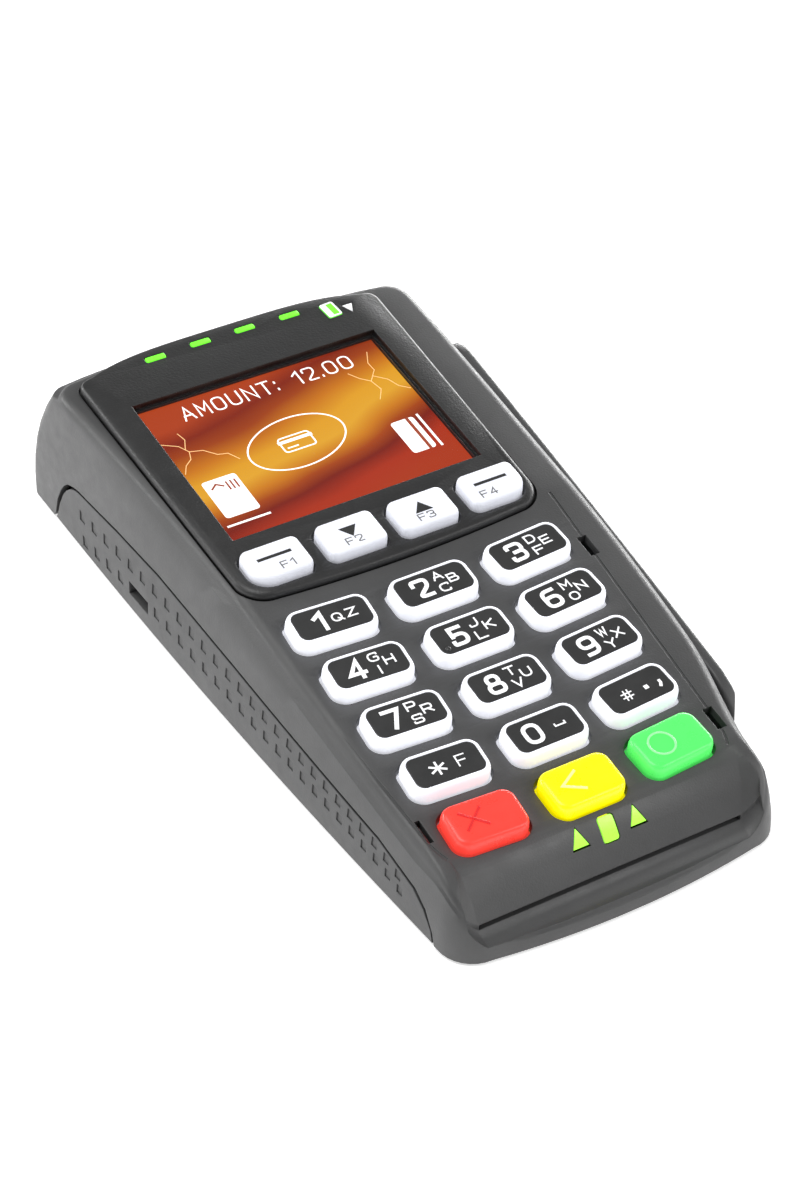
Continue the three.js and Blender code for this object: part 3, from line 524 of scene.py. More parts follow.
def clear_pane(name):
    """Clear glass with faint smears, so thin that what is behind it isn't bent."""
    made, tree, shader = new_material(name)
    fill(tree, shader, Base_Color=(0.04, 0.042, 0.043), Alpha=0.06, IOR=1.35,
         Specular_IOR_Level=0.3,
         Roughness=mapped(tree, noise(tree, 35, 5.0, 0.65), 0.02, 0.08))
    return made


PICTURE = display_picture("display_picture")
PANE = clear_pane("window_glass")


# ---- strokes and lettering
# Each glyph is drawn by strokes on a grid 8 wide and 12 high, in hexadecimal. "-" starts a stroke
# with sharp corners, "(" one with rounded corners and "o" a closed rounded loop.
GLYPHS = {
    "0": "o 00 80 8c 0c", "1": "- 19 5c 50", "2": "( 09 0c 8c 87 00 80",
    "3": "( 0a 0c 8c 86 36 ( 36 86 80 00 02",
    "4": "- 60 6c 03 83", "5": "- 7c 1c 16 ( 17 87 80 00 02", "6": "o 00 80 87 07 ( 04 0c 7c",
    "7": "- 0c 8c 30", "8": "o 00 80 86 06 o 16 76 7c 1c", "9": "o 05 85 8c 0c ( 88 80 10",
    "A": "- 00 4c 80 - 14 74", "B": "- 00 0c ( 0c 7c 76 06 ( 06 86 80 00",
    "C": "( 8a 8c 0c 00 80 82", "D": "- 00 0c ( 0c 8c 80 00", "E": "- 8c 0c 00 80 - 06 76",
    "F": "- 8c 0c 00 - 06 76", "G": "( 8a 8c 0c 00 80 86 56", "H": "- 00 0c - 80 8c - 06 86",
    "I": "- 40 4c", "J": "( 7c 70 00 03", "K": "- 00 0c - 8c 05 - 27 80", "L": "- 0c 00 80",
    "M": "- 00 0c 44 8c 80", "N": "- 00 0c 80 8c", "O": "o 00 80 8c 0c", "P": "- 00 0c ( 0c 8c 85 05",
    "Q": "o 00 80 8c 0c - 54 90", "R": "- 00 0c ( 0c 8c 85 05 - 45 80",
    "S": "( 8a 8c 0c 06 86 80 00 02", "T": "- 0c 8c - 4c 40", "U": "( 0c 00 80 8c",
    "V": "- 0c 40 8c", "W": "- 0c 20 4a 60 8c", "X": "- 00 8c - 0c 80", "Y": "- 0c 46 - 8c 46 40",
    "Z": "- 0c 8c 00 80", "*": "- 42 4a - 14 78 - 18 74", "#": "- 21 3b - 51 6b - 04 84 - 08 88",
    ".": "- 30 31", ":": "- 31 32 - 38 39", "_": "- 13 10 70 73",
}


def rounded_path(points, radius, closed, steps=5):
    """The path with its corners replaced by arcs."""
    corners = [Vector(p) for p in points]
    path = []
    for i, here in enumerate(corners):
        if not closed and i in (0, len(corners) - 1):
            path.append(here)
            continue
        sides = [other - here for other in (corners[i - 1], corners[(i + 1) % len(corners)])]
        reach = min(radius, *[side.length / 2 for side in sides])
        start, end = [here + side.normalized() * reach for side in sides]
        path += [start * (1 - t) ** 2 + here * 2 * t * (1 - t) + end * t ** 2
                 for t in spread(0, 1, steps)]
    return path


def ribbon(path, width, low, high, closed=False):
    """A flat stroke of even width along a path of 2-D points, as a closed solid."""
    path = [Vector(p) for p in path]
    path = [p for i, p in enumerate(path) if i == 0 or (p - path[i - 1]).length > 1e-6]
    if not closed:
        path[0] = path[0] + (path[0] - path[1]).normalized() * width / 2
        path[-1] = path[-1] + (path[-1] - path[-2]).normalized() * width / 2
    if closed and (path[0] - path[-1]).length < 1e-6:
        path.pop()
    count = len(path)
    points = []
    for i, here in enumerate(path):
        before = path[i - 1] if closed or i > 0 else None
        after = path[(i + 1) % count] if closed or i < count - 1 else None
        normals = []
        for a, b in ((before, here), (here, after)):
            if a is not None and b is not None:
                way = (b - a).normalized()
                normals.append(Vector((-way.y, way.x)))
        side = sum(normals, Vector((0, 0))).normalized()
        side = side * (width / 2 / max(0.4, side.dot(normals[0])))
        for offset in (side, -side):
            points.append((*(here + offset), low))
            points.append((*(here + offset), high))
    faces = []
    for i in range(count if closed else count - 1):
        a, b = 4 * i, 4 * ((i + 1) % count)
        faces += [(a + 1, a + 3, b + 3, b + 1), (a, b, b + 2, a + 2),
                  (a, a + 1, b + 1, b), (a + 2, b + 2, b + 3, a + 3)]
    if not closed:
        end = 4 * (count - 1)
        faces += [(0, 2, 3, 1), (end, end + 1, end + 3, end + 2)]
    return points, faces


def glyph(character, width, height, stroke, low, high):
    """A character's strokes, centred on the origin, and how wide it came out."""
    strokes = []
    for mark in GLYPHS[character].split():
        if mark in "-(o":
            strokes.append((mark, []))
        else:
            strokes[-1][1].append((int(mark[0], 16), int(mark[1], 16)))
    xs = [x for _, points in strokes for x, _ in points]
    middle = (min(xs) + max(xs)) / 2
    step_x, step_y = (width - stroke) / 8, (height - stroke) / 12
    solids = []
    for kind, points in strokes:
        places = [((x - middle) * step_x, (y - 6) * step_y) for x, y in points]
        closed = kind == "o"
        if kind != "-":
            places = rounded_path(places, 0.42 * width, closed)
        solids.append(ribbon(places, stroke, low, high, closed))
    return solids, (max(xs) - min(xs)) * step_x + stroke


def shifted(solid, x, y):
    return moved(solid, Matrix.Translation((x, y, 0)))


def lettering(text, x, y, width, height, stroke, low, high, gap=None):
    """A line of text centred on (x, y)."""
    gap = gap or 0.32 * width
    made = [([], 0.8 * width) if c == " " else glyph(c, width, height, stroke, low, high)
            for c in text]
    at = x - (sum(wide for _, wide in made) + gap * (len(made) - 1)) / 2
    solids = []
    for parts, wide in made:
        solids += [shifted(solid, at + wide / 2, y) for solid in parts]
        at += wide + gap
    return solids


# ---- the housing's outer form
def half_outline(half_width, rear, front, detail):
    """Half of the plan outline, from the middle of the rear to the middle of the front."""
    rear_y, rear_arch, rear_radius = rear
    front_y, front_arch, front_radius = front
    flat = 3
    rear_half = half_width(rear_y - rear_arch - rear_radius)
    front_half = half_width(front_y + front_arch + front_radius)

    def rear_edge(x):
        return rear_y - rear_arch * (x / rear_half) ** 4

    def front_edge(x):
        return front_y + front_arch * (x / front_half) ** 2

    rear_x, front_x = rear_half - rear_radius, front_half - front_radius
    rear_end, front_end = rear_edge(rear_x) - rear_radius, front_edge(front_x) + front_radius
    steps = 2 * detail
    return ([(x, rear_edge(x)) for x in spread(flat, rear_x, steps)]
            + arc(rear_x, rear_end, rear_radius, 1, 0, steps, 1)
            + [(half_width(y), y) for y in spread(rear_end, front_end, 8 * steps, 1)[:-1]]
            + arc(front_x, front_end, front_radius, 0, -1, steps)
            + [(x, front_edge(x)) for x in spread(front_x, flat, steps, 1)])


def full_ring(half, height, bulge):
    left = [(BODY_CENTRE_X - x, y, height(y)) for x, y in half]
    out = [(BODY_CENTRE_X + x + bulge(y), y, height(y)) for x, y in half]
    return left + out[::-1]


def envelope(inset=0.0, top=edge_z, bottom=BASE_Z, front_y=FRONT_Y, front_arch=3.4, radius=2.6,
             detail=4):
    """The body's outer form, drawn in by inset on every side. top gives its height along Y."""
    base_half = half_outline(lambda y: base_half_width(y) - inset, (REAR_Y - inset, 0.3, 3.4),
                             (front_y + inset, front_arch, 7), detail)
    edge_half = half_outline(lambda y: edge_half_width(y) - inset, (71.2 - inset, 2.6, 4.4),
                             (front_y + inset + 0.5, front_arch, 7), detail)
    edge = full_ring(edge_half, top, lambda y: head_bulge(y) + right_swell(y))
    foot = full_ring(base_half, lambda y: bottom, right_swell)
    start = max(bottom, BASE_Z)
    rounds = [min(radius, edge_round(y), 0.45 * (z - bottom)) for _, y, z in edge]

    def wall(share):
        ring = []
        for (x, y, z), (fx, fy, _), r in zip(edge, foot, rounds):
            height = start + (z - r - start) * share
            lean = max(0, (height - BASE_Z) / (z - BASE_Z)) ** WALL_CURVE
            ring.append((fx + (x - fx) * lean, fy + (y - fy) * lean, height))
        return ring

    inner = []
    for (x, y, _), r in zip(edge, rounds):
        length = math.hypot(x, y * 0.45)
        inner_y = y - r * y * 0.45 / length
        inner.append((x - r * x / length, inner_y, top(inner_y)))

    def shoulder(angle):
        inward, down = 1 - math.cos(angle), 1 - math.sin(angle)
        return [(x + (ix - x) * inward, y + (iy - y) * inward, z + (iz - z) * inward - r * down)
                for (x, y, z), (ix, iy, iz), r in zip(edge, inner, rounds)]

    turns = [math.pi / 2 * k / 6 for k in range(1, 7)]
    below = [foot] if bottom < BASE_Z else []
    walls = [wall(k / 6) for k in range(7)]
    return ring_solid([*below, *walls, *[shoulder(a) for a in turns]], strips=True)


def inner_space(inset, bottom):
    return envelope(inset=inset, top=lambda y: fall_z(y) - WALL, bottom=bottom,
                    front_y=INNER_FRONT_Y, front_arch=0, radius=1.2, detail=2)


def front_face_x(y):
    """Ends in X of the curved front face, a little wider where it starts than at the slot."""
    t = share(y, SLOT_Y, FALL_START_Y)
    return SLOT_X[0] - FACE_SPREAD_LEFT * t ** 2, SLOT_X[1] + FACE_SPREAD_RIGHT * t * (2 - t)


def front_cut():
    """Everything above the curved front face and the lip, between the cheeks' inner faces."""
    def section(y, z):
        left, right = front_face_x(y)
        slopes = [(t, z + CHEEK_SLOPE_HEIGHT * (0.75 * t + 0.25 * t * t))
                  for t in (1, 0.85, 0.7, 0.5, 0.3, 0.12, 0)]
        return [(left - CHEEK_SLOPE_LEFT, y, ABOVE_ALL), (right + CHEEK_SLOPE_RIGHT, y, ABOVE_ALL),
                *[(right + CHEEK_SLOPE_RIGHT * t, y, height) for t, height in slopes],
                *[(left - CHEEK_SLOPE_LEFT * t, y, height) for t, height in slopes[::-1]]]

    fall = [(y, fall_z(y)) for y in spread(FALL_START_Y, SLOT_Y, 36)]
    return ring_solid([section(y, z) for y, z in fall + LIP_PROFILE][::-1], strips=True)


def arch_cut(grow):
    """The side openings of the upper housing, filled by the lower housing's panels."""
    left = [(-73 - grow, -1), (72 + grow, -1), (70 + grow, 2), (68.6 + grow, 5.4 + grow),
            (66.6 + grow, 8.9 + grow), (64.9 + grow, 11 + grow), (63.1 + grow, 12.5 + grow),
            (61.2, 13.5 + grow), (59, 14 + grow), (42, 15.2 + grow), (25, 15.6 + grow),
            (-5, 14.1 + grow), (-55, 10.6 + grow), (-66 - grow, 8.2 + grow),
            (-69.5 - grow, 6 + grow), (-72 - grow, 3)]
    right = [(-48 - grow, -1), (60 + grow, -1), (57 + grow, swipe_floor_z(57) + grow),
             (-46 - grow, swipe_floor_z(-46) + grow)]
    return prism_x(left, -ABOVE_ALL, 0), prism_x(right, 0, ABOVE_ALL)


def swipe_slot():
    return prism_x([(-60, swipe_floor_z(-60)), (58, swipe_floor_z(58)), (58, ABOVE_ALL),
                    (-60, ABOVE_ALL)], SWIPE_WALL_X, ABOVE_ALL)


def bezel_outline(grow):
    def side(y):
        return 32.5 + 0.0255 * (y - 7.5) + grow

    def rear(x):
        return 69.6 - 3.5e-6 * x ** 4 + grow

    def front(x):
        return -5 + 0.0017 * x * x - grow

    rear_radius, front_radius = 2.6, 6
    front_x, rear_x = side(2) - front_radius, side(62) - rear_radius
    front_end, rear_end = front(front_x) + front_radius, rear(rear_x) - rear_radius
    half = ([(x, front(x)) for x in spread(0, front_x, 11)]
            + arc(front_x, front_end, front_radius, -1, 0, 12, 1)
            + [(side(y), y) for y in spread(front_end, rear_end, 6, 1)[:-1]]
            + arc(rear_x, rear_end, rear_radius, 0, 1, 9)
            + [(x, rear(x)) for x in spread(rear_x, 0, 12, 1)])
    return half + [(-x, y) for x, y in half[-2:0:-1]]


# ---- keys
KEY_ROWS = [19.6, 6.5, -6.6, -19.6]
KEY_COLUMN_X = [21.1, 20.8, 20.5, 20.05]
LABEL_WIDTHS = [14.8, 14.45, 14.1, 13.7]
LABEL_DEPTH = 6.95
KEY_ROW_ORIGIN_Y = -34.1
MIDDLE_SHIFT = 0.65
KEY_RADIUS = 2.7
COMMAND_WIDTH, COMMAND_DEPTH, COMMAND_RADIUS = 14.6, 9.6, 2.6
FUNCTION_WIDTH, FUNCTION_DEPTH = 12.3, 8.7
KEY_NAMES = [["1", "2", "3"], ["4", "5", "6"], ["7", "8", "9"], ["star", "0", "hash"]]
KEY_LETTERS = {"1": "QZ", "2": "ABC", "3": "DEF", "4": "GHI", "5": "JKL", "6": "MNO", "7": "PRS",
               "8": "TUV", "9": "WXY"}
COMMANDS = [("cancel", -19.7, -65.8, LEFT_TURN), ("clear", -0.1, -66.3, 0.0),
            ("enter", 19.3, -65.6, RIGHT_TURN)]
FUNCTION_KEYS = [("f1", -23.2, 2.8, (1.6, 1.6, 4, 1.6)), ("f2", -7.3, 2.8, (1.6,) * 4),
                 ("f3", 8.2, 2.5, (1.6,) * 4), ("f4", 23.9, 2.8, (1.6, 1.6, 1.6, 4))]


def digit_keys():
    """(name, x, y, turn, width, depth) of each key with a label."""
    for row, names in enumerate(KEY_NAMES):
        for column, name in enumerate(names):
            side = column - 1
            along = KEY_ROWS[row] - (MIDDLE_SHIFT if side == 0 else 0)
            x = 0.1 if side == 0 else side * KEY_COLUMN_X[row]
            y = KEY_ROW_ORIGIN_Y + along * math.cos(FACE_TILT) + KEY_PROUD * math.sin(FACE_TILT)
            yield (name, x, y, (LEFT_TURN, 0.0, RIGHT_TURN)[column],
                   LABEL_WIDTHS[row] + 2 * RIM, LABEL_DEPTH + 2 * RIM)


def shrunk(radii, grow):
    if isinstance(radii, (list, tuple)):
        return [max(0.25, r + grow) for r in radii]
    return max(0.25, radii + grow)


def cap_solid(width, depth, radii, profile):
    """A cap through rounded rectangles: profile is (grow, height) pairs, lowest first."""
    rings = []
    for grow, z in profile:
        outline = rounded_rect(width + 2 * grow, depth + 2 * grow, shrunk(radii, grow), 8)
        rings.append([(x, y, z) for x, y in outline])
    return ring_solid(rings)


def key_hole(width, depth, radii):
    """A cutter whose upper end flares, which leaves a rounded lip round the hole."""
    flare = [(0, -4), (0, -0.4), (0.05, -0.2), (0.16, -0.06), (0.34, 0.0), (0.4, 0.3), (0.4, 4)]
    return cap_solid(width, depth, radii, [(HOLE_GAP + grow, z) for grow, z in flare])


# ---- housing pieces
SCREWS = [(-34.7, 58), (38.4, 58), (-33, -22), (36.4, -22)]
FEET = [(-26, 70), (26, 70), (-25, -69), (25, -69)]
NOTCHES = [(33.4, -17.0, 2.0), (30.7, -63.2, 2.0), (-29.9, -62.6, 1.0)]
NOTCH_LENGTH = 5.2
CREASE_WIDTH, CREASE_DEPTH = 0.5, 0.14
GRIP_START_Y, GRIP_END_Y, GRIP_DEPTH = -61.5, 62, 0.34
COVER = (-15, 15, 12, 42)
SOCKET_HALF, SOCKET_Z = 7.4, (3.0, 12.4)
HEAD_Y, HEAD_Z = 5, 15
CARD_LIGHTS = [("card_arrow_left", -5.3, -73.8), ("card_indicator", 0.8, -74.1),
               ("card_arrow_right", 6.7, -73.8)]
CARD_LIGHT_TILT = math.radians(44)


def card_light_solid(name, x, y, grow, low, high):
    if name == "card_indicator":
        outline = rounded_rect(3 + 2 * grow, 4.6 + 2 * grow, 0.5 + grow, 5)
    else:
        outline = triangle(3.1 + 3 * grow)
    return on_plane(prism_z(outline, low, high), x, y, fall_z(y), CARD_LIGHT_TILT)


def crease(side):
    """A fine groove between the keypad face and the shoulder, from the bezel to the cheek."""
    path = [(side * 29.4, -69.2), (side * 29.8, -68.2), (side * 30.25, -66.5)]
    for y in spread(-65, -2, 24):
        path.append((side * (30.55 + 0.0584 * (y + 65) + 0.0002 * (y + 65) ** 1.5), y))
    flat = [(x, y / math.cos(FACE_TILT)) for x, y in path]
    return on_plane(ribbon(flat, CREASE_WIDTH, -CREASE_DEPTH, 1.5), 0, 0, FACE_Z0, FACE_TILT)


def build_top_housing():
    cuts = [front_cut(), inner_space(WALL, BASE_Z - 2),
            bezel_slab(bezel_outline(0.35), -BEZEL_THICK - GAP, 12),
            bezel_slab(rect(-30.6, 30.6, 9.4, 57.6), -9, 1)]
    for name, x, y, turned, width, depth in digit_keys():
        cuts.append(on_face(key_hole(width, depth, KEY_RADIUS), x, y, turned))
    for name, x, y, turned in COMMANDS:
        cuts.append(on_face(key_hole(COMMAND_WIDTH, COMMAND_DEPTH, COMMAND_RADIUS), x, y, turned))
    for name, x, y, radii in FUNCTION_KEYS:
        hole = cap_solid(FUNCTION_WIDTH, FUNCTION_DEPTH, radii, [(HOLE_GAP, -7), (HOLE_GAP, 4)])
        cuts.append(on_bezel(hole, x, y))
    for x, y, width in NOTCHES:
        opening = box(-width / 2, width / 2, -NOTCH_LENGTH / 2, NOTCH_LENGTH / 2, -2 * WALL, 2)
        cuts.append(on_face(opening, x, y))
    cuts += [crease(-1), crease(1), box(*SLOT_X, SLOT_Y - 1, -70, SLOT_FLOOR_Z, SLOT_TOP_Z),
             *arch_cut(SEAM), swipe_slot(),
             box(20, 45, HEAD_Y - 5.1, HEAD_Y + 5.1, HEAD_Z - 3.5, HEAD_Z + 3.5),
             box(-SOCKET_HALF, SOCKET_HALF, 70, 90, SOCKET_Z[0] - 5, SOCKET_Z[1])]
    cuts += [card_light_solid(name, x, y, 0.22, -6, 6) for name, x, y in CARD_LIGHTS]
    add_piece("top_housing_shell", envelope(), HOUSING, ["top_housing"],
              cuts=cuts)


ARCH_TOP = [(-66, 8.2), (-55, 10.6), (-5, 14.1), (25, 15.6), (42, 15.2), (59, 14.0), (62, 12.8),
            (66, 9.3), (70, 2)]


def grip_marks():
    """(y, z, size) of the small dents in the left panel: two rows that close up to the front."""
    marks = []
    y = GRIP_START_Y
    while y < GRIP_END_Y:
        behind = (y + 40) / 80
        size = 1.0 + 0.22 * behind
        arch_z = float(np.interp(y, *zip(*ARCH_TOP)))
        first = max(size + 0.5, 1.4 + 3.0 * behind)
        for drop, shift in [(first, 0.0), (first + 3.4 + 2.0 * behind, -0.9)]:
            z = arch_z - drop
            beside_tether_slot = 26.0 < y + shift < 39.0 and z < 10
            if z > BASE_Z + size + 0.3 and not beside_tether_slot:
                marks.append((y + shift, z, size))
        y += 4.1 + 1.2 * behind
    return marks


def build_bottom_housing():
    shell = to_object("bottom_housing_shell", envelope(inset=0.12))
    left_arch, right_arch = arch_cut(0)
    sides = to_object("sides", left_arch)
    combine(sides, [right_arch], "UNION")
    combine(sides, [box(-60, 60, -90, 90, BASE_Z, 25)], "INTERSECT")
    combine(shell, [sides], "INTERSECT")
    plate = to_object("plate", envelope(inset=WALL + GAP, bottom=BASE_Z, front_y=INNER_FRONT_Y,
                                        front_arch=0))
    combine(plate, [box(-60, 60, -90, 90, BASE_Z, 2.6)], "INTERSECT")
    combine(shell, [plate], "UNION")
    core = to_object("core", envelope(inset=GRIP_DEPTH))
    dents = to_object("dents", joined(
        [box(-60, -20, y - 0.9 * size, y + 0.9 * size, z - size, z + size)
         for y, z, size in grip_marks()]))
    combine(dents, [core])
    combine(shell, [dents])
    cuts = [inner_space(WALL + GAP, 2.6)]
    for x, y in SCREWS:
        cuts += [lathe([(radius, low), (radius, high)], x, y, 24)
                 for radius, low, high in ((1.4, -1, 8), (2.0, -1, 1.7), (2.6, 2.6, 21))]
    cuts += [lathe([(4.8, -1), (4.8, 1.1)], x, y, 40) for x, y in FEET]
    x0, x1, y0, y1 = COVER
    recess = prism_z(rounded_rect(46, 34, 2), -1, BASE_Z + 0.25)
    cuts += [box(x0, x1, y0, y1, -1, 1.8), box(x0 + 2, x1 - 2, y0 + 5, y1 - 2, -1, 5),
             lathe([(1.4, -1), (1.4, 5)], 0, y0 + 2.5, 24), box(-50, -30, 28.5, 36.6, 4.1, 7.1),
             shifted(recess, 0, -38)]
    combine(shell, cuts)
    remove(sides, plate, core, dents)
    place(shell, PANEL, ["bottom_housing"])


def build_rail():
    def crest_z(y):
        return 19.1 + 0.203 * (y - 1) - 0.0002 * (y - 1) ** 2

    crest = [(y, crest_z(y)) for y in range(-46, 47, 4)]
    front_end = [(-54, BASE_Z), (-53.4, 3), (-52.4, 5), (-51, 6.3), (-49.3, 7.6)]
    rear_end = [(48.5, 27.9), (50.6, 27.2), (52, 26), (53.4, 23.8), (54.5, 21), (56, BASE_Z)]
    side = (front_end + crest + rear_end)[::-1]
    fin = to_object("swipe_rail_body", prism_x(side, RAIL_INNER_X, RAIL_OUTER_X))
    bevel = fin.modifiers.new("round", "BEVEL")
    bevel.width = 0.7 * MM
    bevel.segments = 4
    bevel.limit_method = "ANGLE"
    bevel.angle_limit = math.radians(60)
    bake(fin)
    floor_side = [(-50, BASE_Z), (54, BASE_Z), (52, swipe_floor_z(52)), (-46, swipe_floor_z(-46))]
    combine(fin, [prism_x(floor_side, 30, RAIL_INNER_X + 0.5)], "UNION")
    plan = [(RAIL_INNER_X, -54), (RAIL_OUTER_X, -50), (RAIL_OUTER_X, 60), (30, 60), (30, -60)]
    combine(fin, [prism_z(plan, -1, 40)], "INTERSECT")
    room = to_object("room", envelope(inset=-GAP, bottom=BASE_Z - 3))
    combine(room, [swipe_slot()])
    combine(fin, [room])
    remove(room)
    place(fin, HOUSING, ["swipe_rail"])


# ---- display
LIGHTS = [(-16.5, 65.9), (-6.2, 66.3), (3.9, 66.3), (14.1, 66.1)]
LIGHT_WIDTH, LIGHT_DEPTH = 4.3, 1.4
ICON = (22.6, 63.9, 3.1, 4.4, math.radians(4))
ARROW = (26.5, 62.8, 2.2)


def triangle(size):
    return [(-size / 2, -0.55 * size), (size / 2, -0.55 * size), (0, 0.55 * size)]


def build_bezel():
    rings = []
    for grow, z in [(0, -BEZEL_THICK), (0, -1.0), (-0.14, -0.55), (-0.42, -0.2), (-0.9, 0.0)]:
        rings.append([(x, y / math.cos(BEZEL_TILT), z) for x, y in bezel_outline(grow)])
    y0, y1 = WINDOW_Y
    half = WINDOW_HALF_X
    cuts = [bezel_slab(rect(-half, half, y0, y1), -1.4, 1),
            bezel_slab(rect(-half + 0.6, half - 0.6, y0 + 0.6, y1 - 0.6), -4, 1)]
    flare = [(0, -7), (0, -0.3), (0.1, -0.1), (0.3, 0.0), (0.35, 0.3), (0.35, 4)]
    lip = [(HOLE_GAP + grow, z) for grow, z in flare]
    for name, x, y, radii in FUNCTION_KEYS:
        cuts.append(on_bezel(cap_solid(FUNCTION_WIDTH, FUNCTION_DEPTH, radii, lip), x, y))
    for x, y in LIGHTS:
        outline = rounded_rect(LIGHT_WIDTH + 0.4, LIGHT_DEPTH + 0.4, 0.5, 5)
        cuts.append(on_bezel(prism_z(outline, -4, 2), x, y))
    x, y, width, depth, turned = ICON
    outline = rounded_rect(width + 0.4, depth + 0.4, 0.4, 4)
    cuts.append(on_bezel(prism_z(outline, -4, 2), x, y, turned))
    x, y, size = ARROW
    cuts.append(on_bezel(prism_z(triangle(size + 0.6), -4, 2), x, y, math.pi))
    add_piece("bezel_plate", on_plane(ring_solid(rings), 0, 0, BEZEL_Z0, BEZEL_TILT), BEZEL,
              ["display_bezel"], cuts=cuts)


def build_window():
    y0, y1 = WINDOW_Y
    reach = WINDOW_HALF_X - GAP
    add_piece("window_pane", bezel_slab(rect(-reach, reach, y0 + GAP, y1 - GAP), -1.1, -0.4),
              PANE, ["display_window"])


SCREEN_W = -BEZEL_THICK - GAP       # height of the panel's face below the bezel's
INK = 0.03                          # thickness of what is shown on it


def screen_piece(name, solids, material):
    add_piece(name, on_plane(joined(solids), 0, 0, BEZEL_Z0, BEZEL_TILT), material)


def build_display():
    add_piece("display_panel", bezel_slab(rect(-30, 30, 10, 57), -4.8, SCREEN_W), BLACK,
              ["lcd_panel"])
    picture = box(-26.75, 26.75, 13.4, 54.9, SCREEN_W, SCREEN_W + INK)
    screen_piece("display_picture", [picture], PICTURE)
    low, high = SCREEN_W + 2 * INK, SCREEN_W + 3 * INK
    screen_piece("screen_text", lettering("AMOUNT: 12.00", 0.5, 50.6, 2.65, 4.1, 0.38, low, high,
                                          0.85), SCREEN_WHITE)
    cos, sin = math.cos(math.radians(8)), math.sin(math.radians(8))
    ring = [(-1.9 + 10.8 * x * cos - 7.0 * y * sin, 33.7 + 10.8 * x * sin + 7.0 * y * cos)
            for x, y in arc(0, 0, 1, 0, 4, 64)[:-1]]
    bank_card = rounded_path(rect(-5.3, 1.5, 31.6, 35.8), 0.8, True)
    screen_piece("screen_ring", [
        ribbon(ring, 0.34, low, high, True), ribbon(bank_card, 0.34, low, high, True),
        ribbon([(-5.3, 34.6), (1.5, 34.6)], 0.8, low, high),
        ribbon([(-4.3, 32.7), (-2.2, 32.7)], 0.34, low, high)], SCREEN_WHITE)
    cards = [shifted(prism_z(rounded_rect(width, depth, 0.7, 5), low, high), x, y)
             for x, y, width, depth in ((-20.8, 25.6, 7.4, 11.0), (19.7, 25.3, 5.2, 9.8))]
    slots = [ribbon(path, 0.5, low, high)
             for path in ([(23.4, 20.4), (23.4, 30.2)], [(-25.2, 18.0), (-16.4, 18.0)])]
    screen_piece("screen_cards", cards + slots, SCREEN_WHITE)
    ink = (high + INK, high + 2 * INK)
    chip = [ribbon([(-19.9 + 0.9 * k, 27.2), (-19.9 + 0.9 * k, 29.4)], 0.36, *ink)
            for k in range(3)]
    pointer = ribbon([(-23.2, 28.6), (-22.0, 29.6), (-20.8, 28.6)], 0.4, *ink)
    dark_stripe = ribbon([(20.9, 20.6), (20.9, 30.0)], 0.7, *ink)
    screen_piece("screen_marks", [*chip, pointer, dark_stripe], SCREEN_DARK)
    sparks = [[(-26.3, 44.5), (-23.4, 42.6), (-22.2, 40.3), (-19.6, 39.5), (-17.6, 37.2),
               (-15.6, 36.6), (-14.3, 34.2)],
              [(-22.2, 40.3), (-22.9, 38.2), (-24.6, 36.9), (-25.8, 34.8)],
              [(-22.6, 41.2), (-21.4, 43.8), (-21.9, 46.0)],
              [(24.0, 51.5), (22.5, 48.4), (22.6, 46.0), (20.3, 43.2), (20.9, 40.2), (19.2, 37.6)],
              [(20.3, 43.2), (18.6, 44.9), (17.2, 47.2)],
              [(21.4, 44.5), (23.7, 42.2), (24.6, 39.6), (26.4, 37.9)]]
    screen_piece("screen_sparks", [ribbon(path, 0.15, low, high) for path in sparks], SCREEN_LINE)


def build_lights():
    profile = [(0, -BEZEL_THICK), (0, -0.1), (-0.06, 0.03), (-0.2, 0.1)]
    for index, (x, y) in enumerate(LIGHTS, 1):
        lens = cap_solid(LIGHT_WIDTH, LIGHT_DEPTH, 0.35, profile)
        add_piece(f"contactless_light_lens_{index}", on_bezel(lens, x, y), LIGHT_GREEN,
                  [f"contactless_light_{index}"])
    x, y, width, depth, turned = ICON
    lens = cap_solid(width, depth, 0.3, [(0, -BEZEL_THICK), (0, -0.05), (-0.12, 0.04)])
    add_piece("swipe_indicator_lens", on_bezel(lens, x, y, turned), LIGHT_GREEN,
              ["swipe_indicator"])
    w, d = width / 2, depth / 2
    border = rounded_path(rect(-w + 0.2, w - 0.2, -d + 0.2, d - 0.2), 0.3, True)
    outline = joined([ribbon(border, 0.4, 0.05, 0.1, True),
                      prism_z(rect(-w + 0.3, -0.25, -d + 0.3, d - 0.3), 0.05, 0.09)])
    add_piece("swipe_indicator_outline", on_bezel(outline, x, y, turned), LEGEND_WHITE)
    x, y, size = ARROW
    rings = [[(px * s, py * s, z) for px, py in triangle(size)]
             for s, z in [(1, -BEZEL_THICK), (1, 0.0), (0.88, 0.1)]]
    add_piece("swipe_arrow_inlay", on_bezel(ring_solid(rings), x, y, math.pi), LEGEND_WHITE,
              ["swipe_arrow"])
    below_fall = to_object("below_fall", envelope())
    combine(below_fall, [front_cut()])
    for name, x, y in CARD_LIGHTS:
        lens = to_object(name + "_lens", card_light_solid(name, x, y, 0.0, -WALL, 6))
        combine(lens, [below_fall], "INTERSECT")
        place(lens, CARD_LIGHT, [name])
    remove(below_fall)


# ---- building the keys
def key_piece(name, part, solid, where, material, replaced=(), angle=32):
    """A piece that rides on a key. where: the plane it lies on, and its place and turn there."""
    on, *spot = where
    add_piece(f"key_{name}_{part}", on(solid, *spot), material, replaced,
              f"key_{name}_cap", angle=angle)


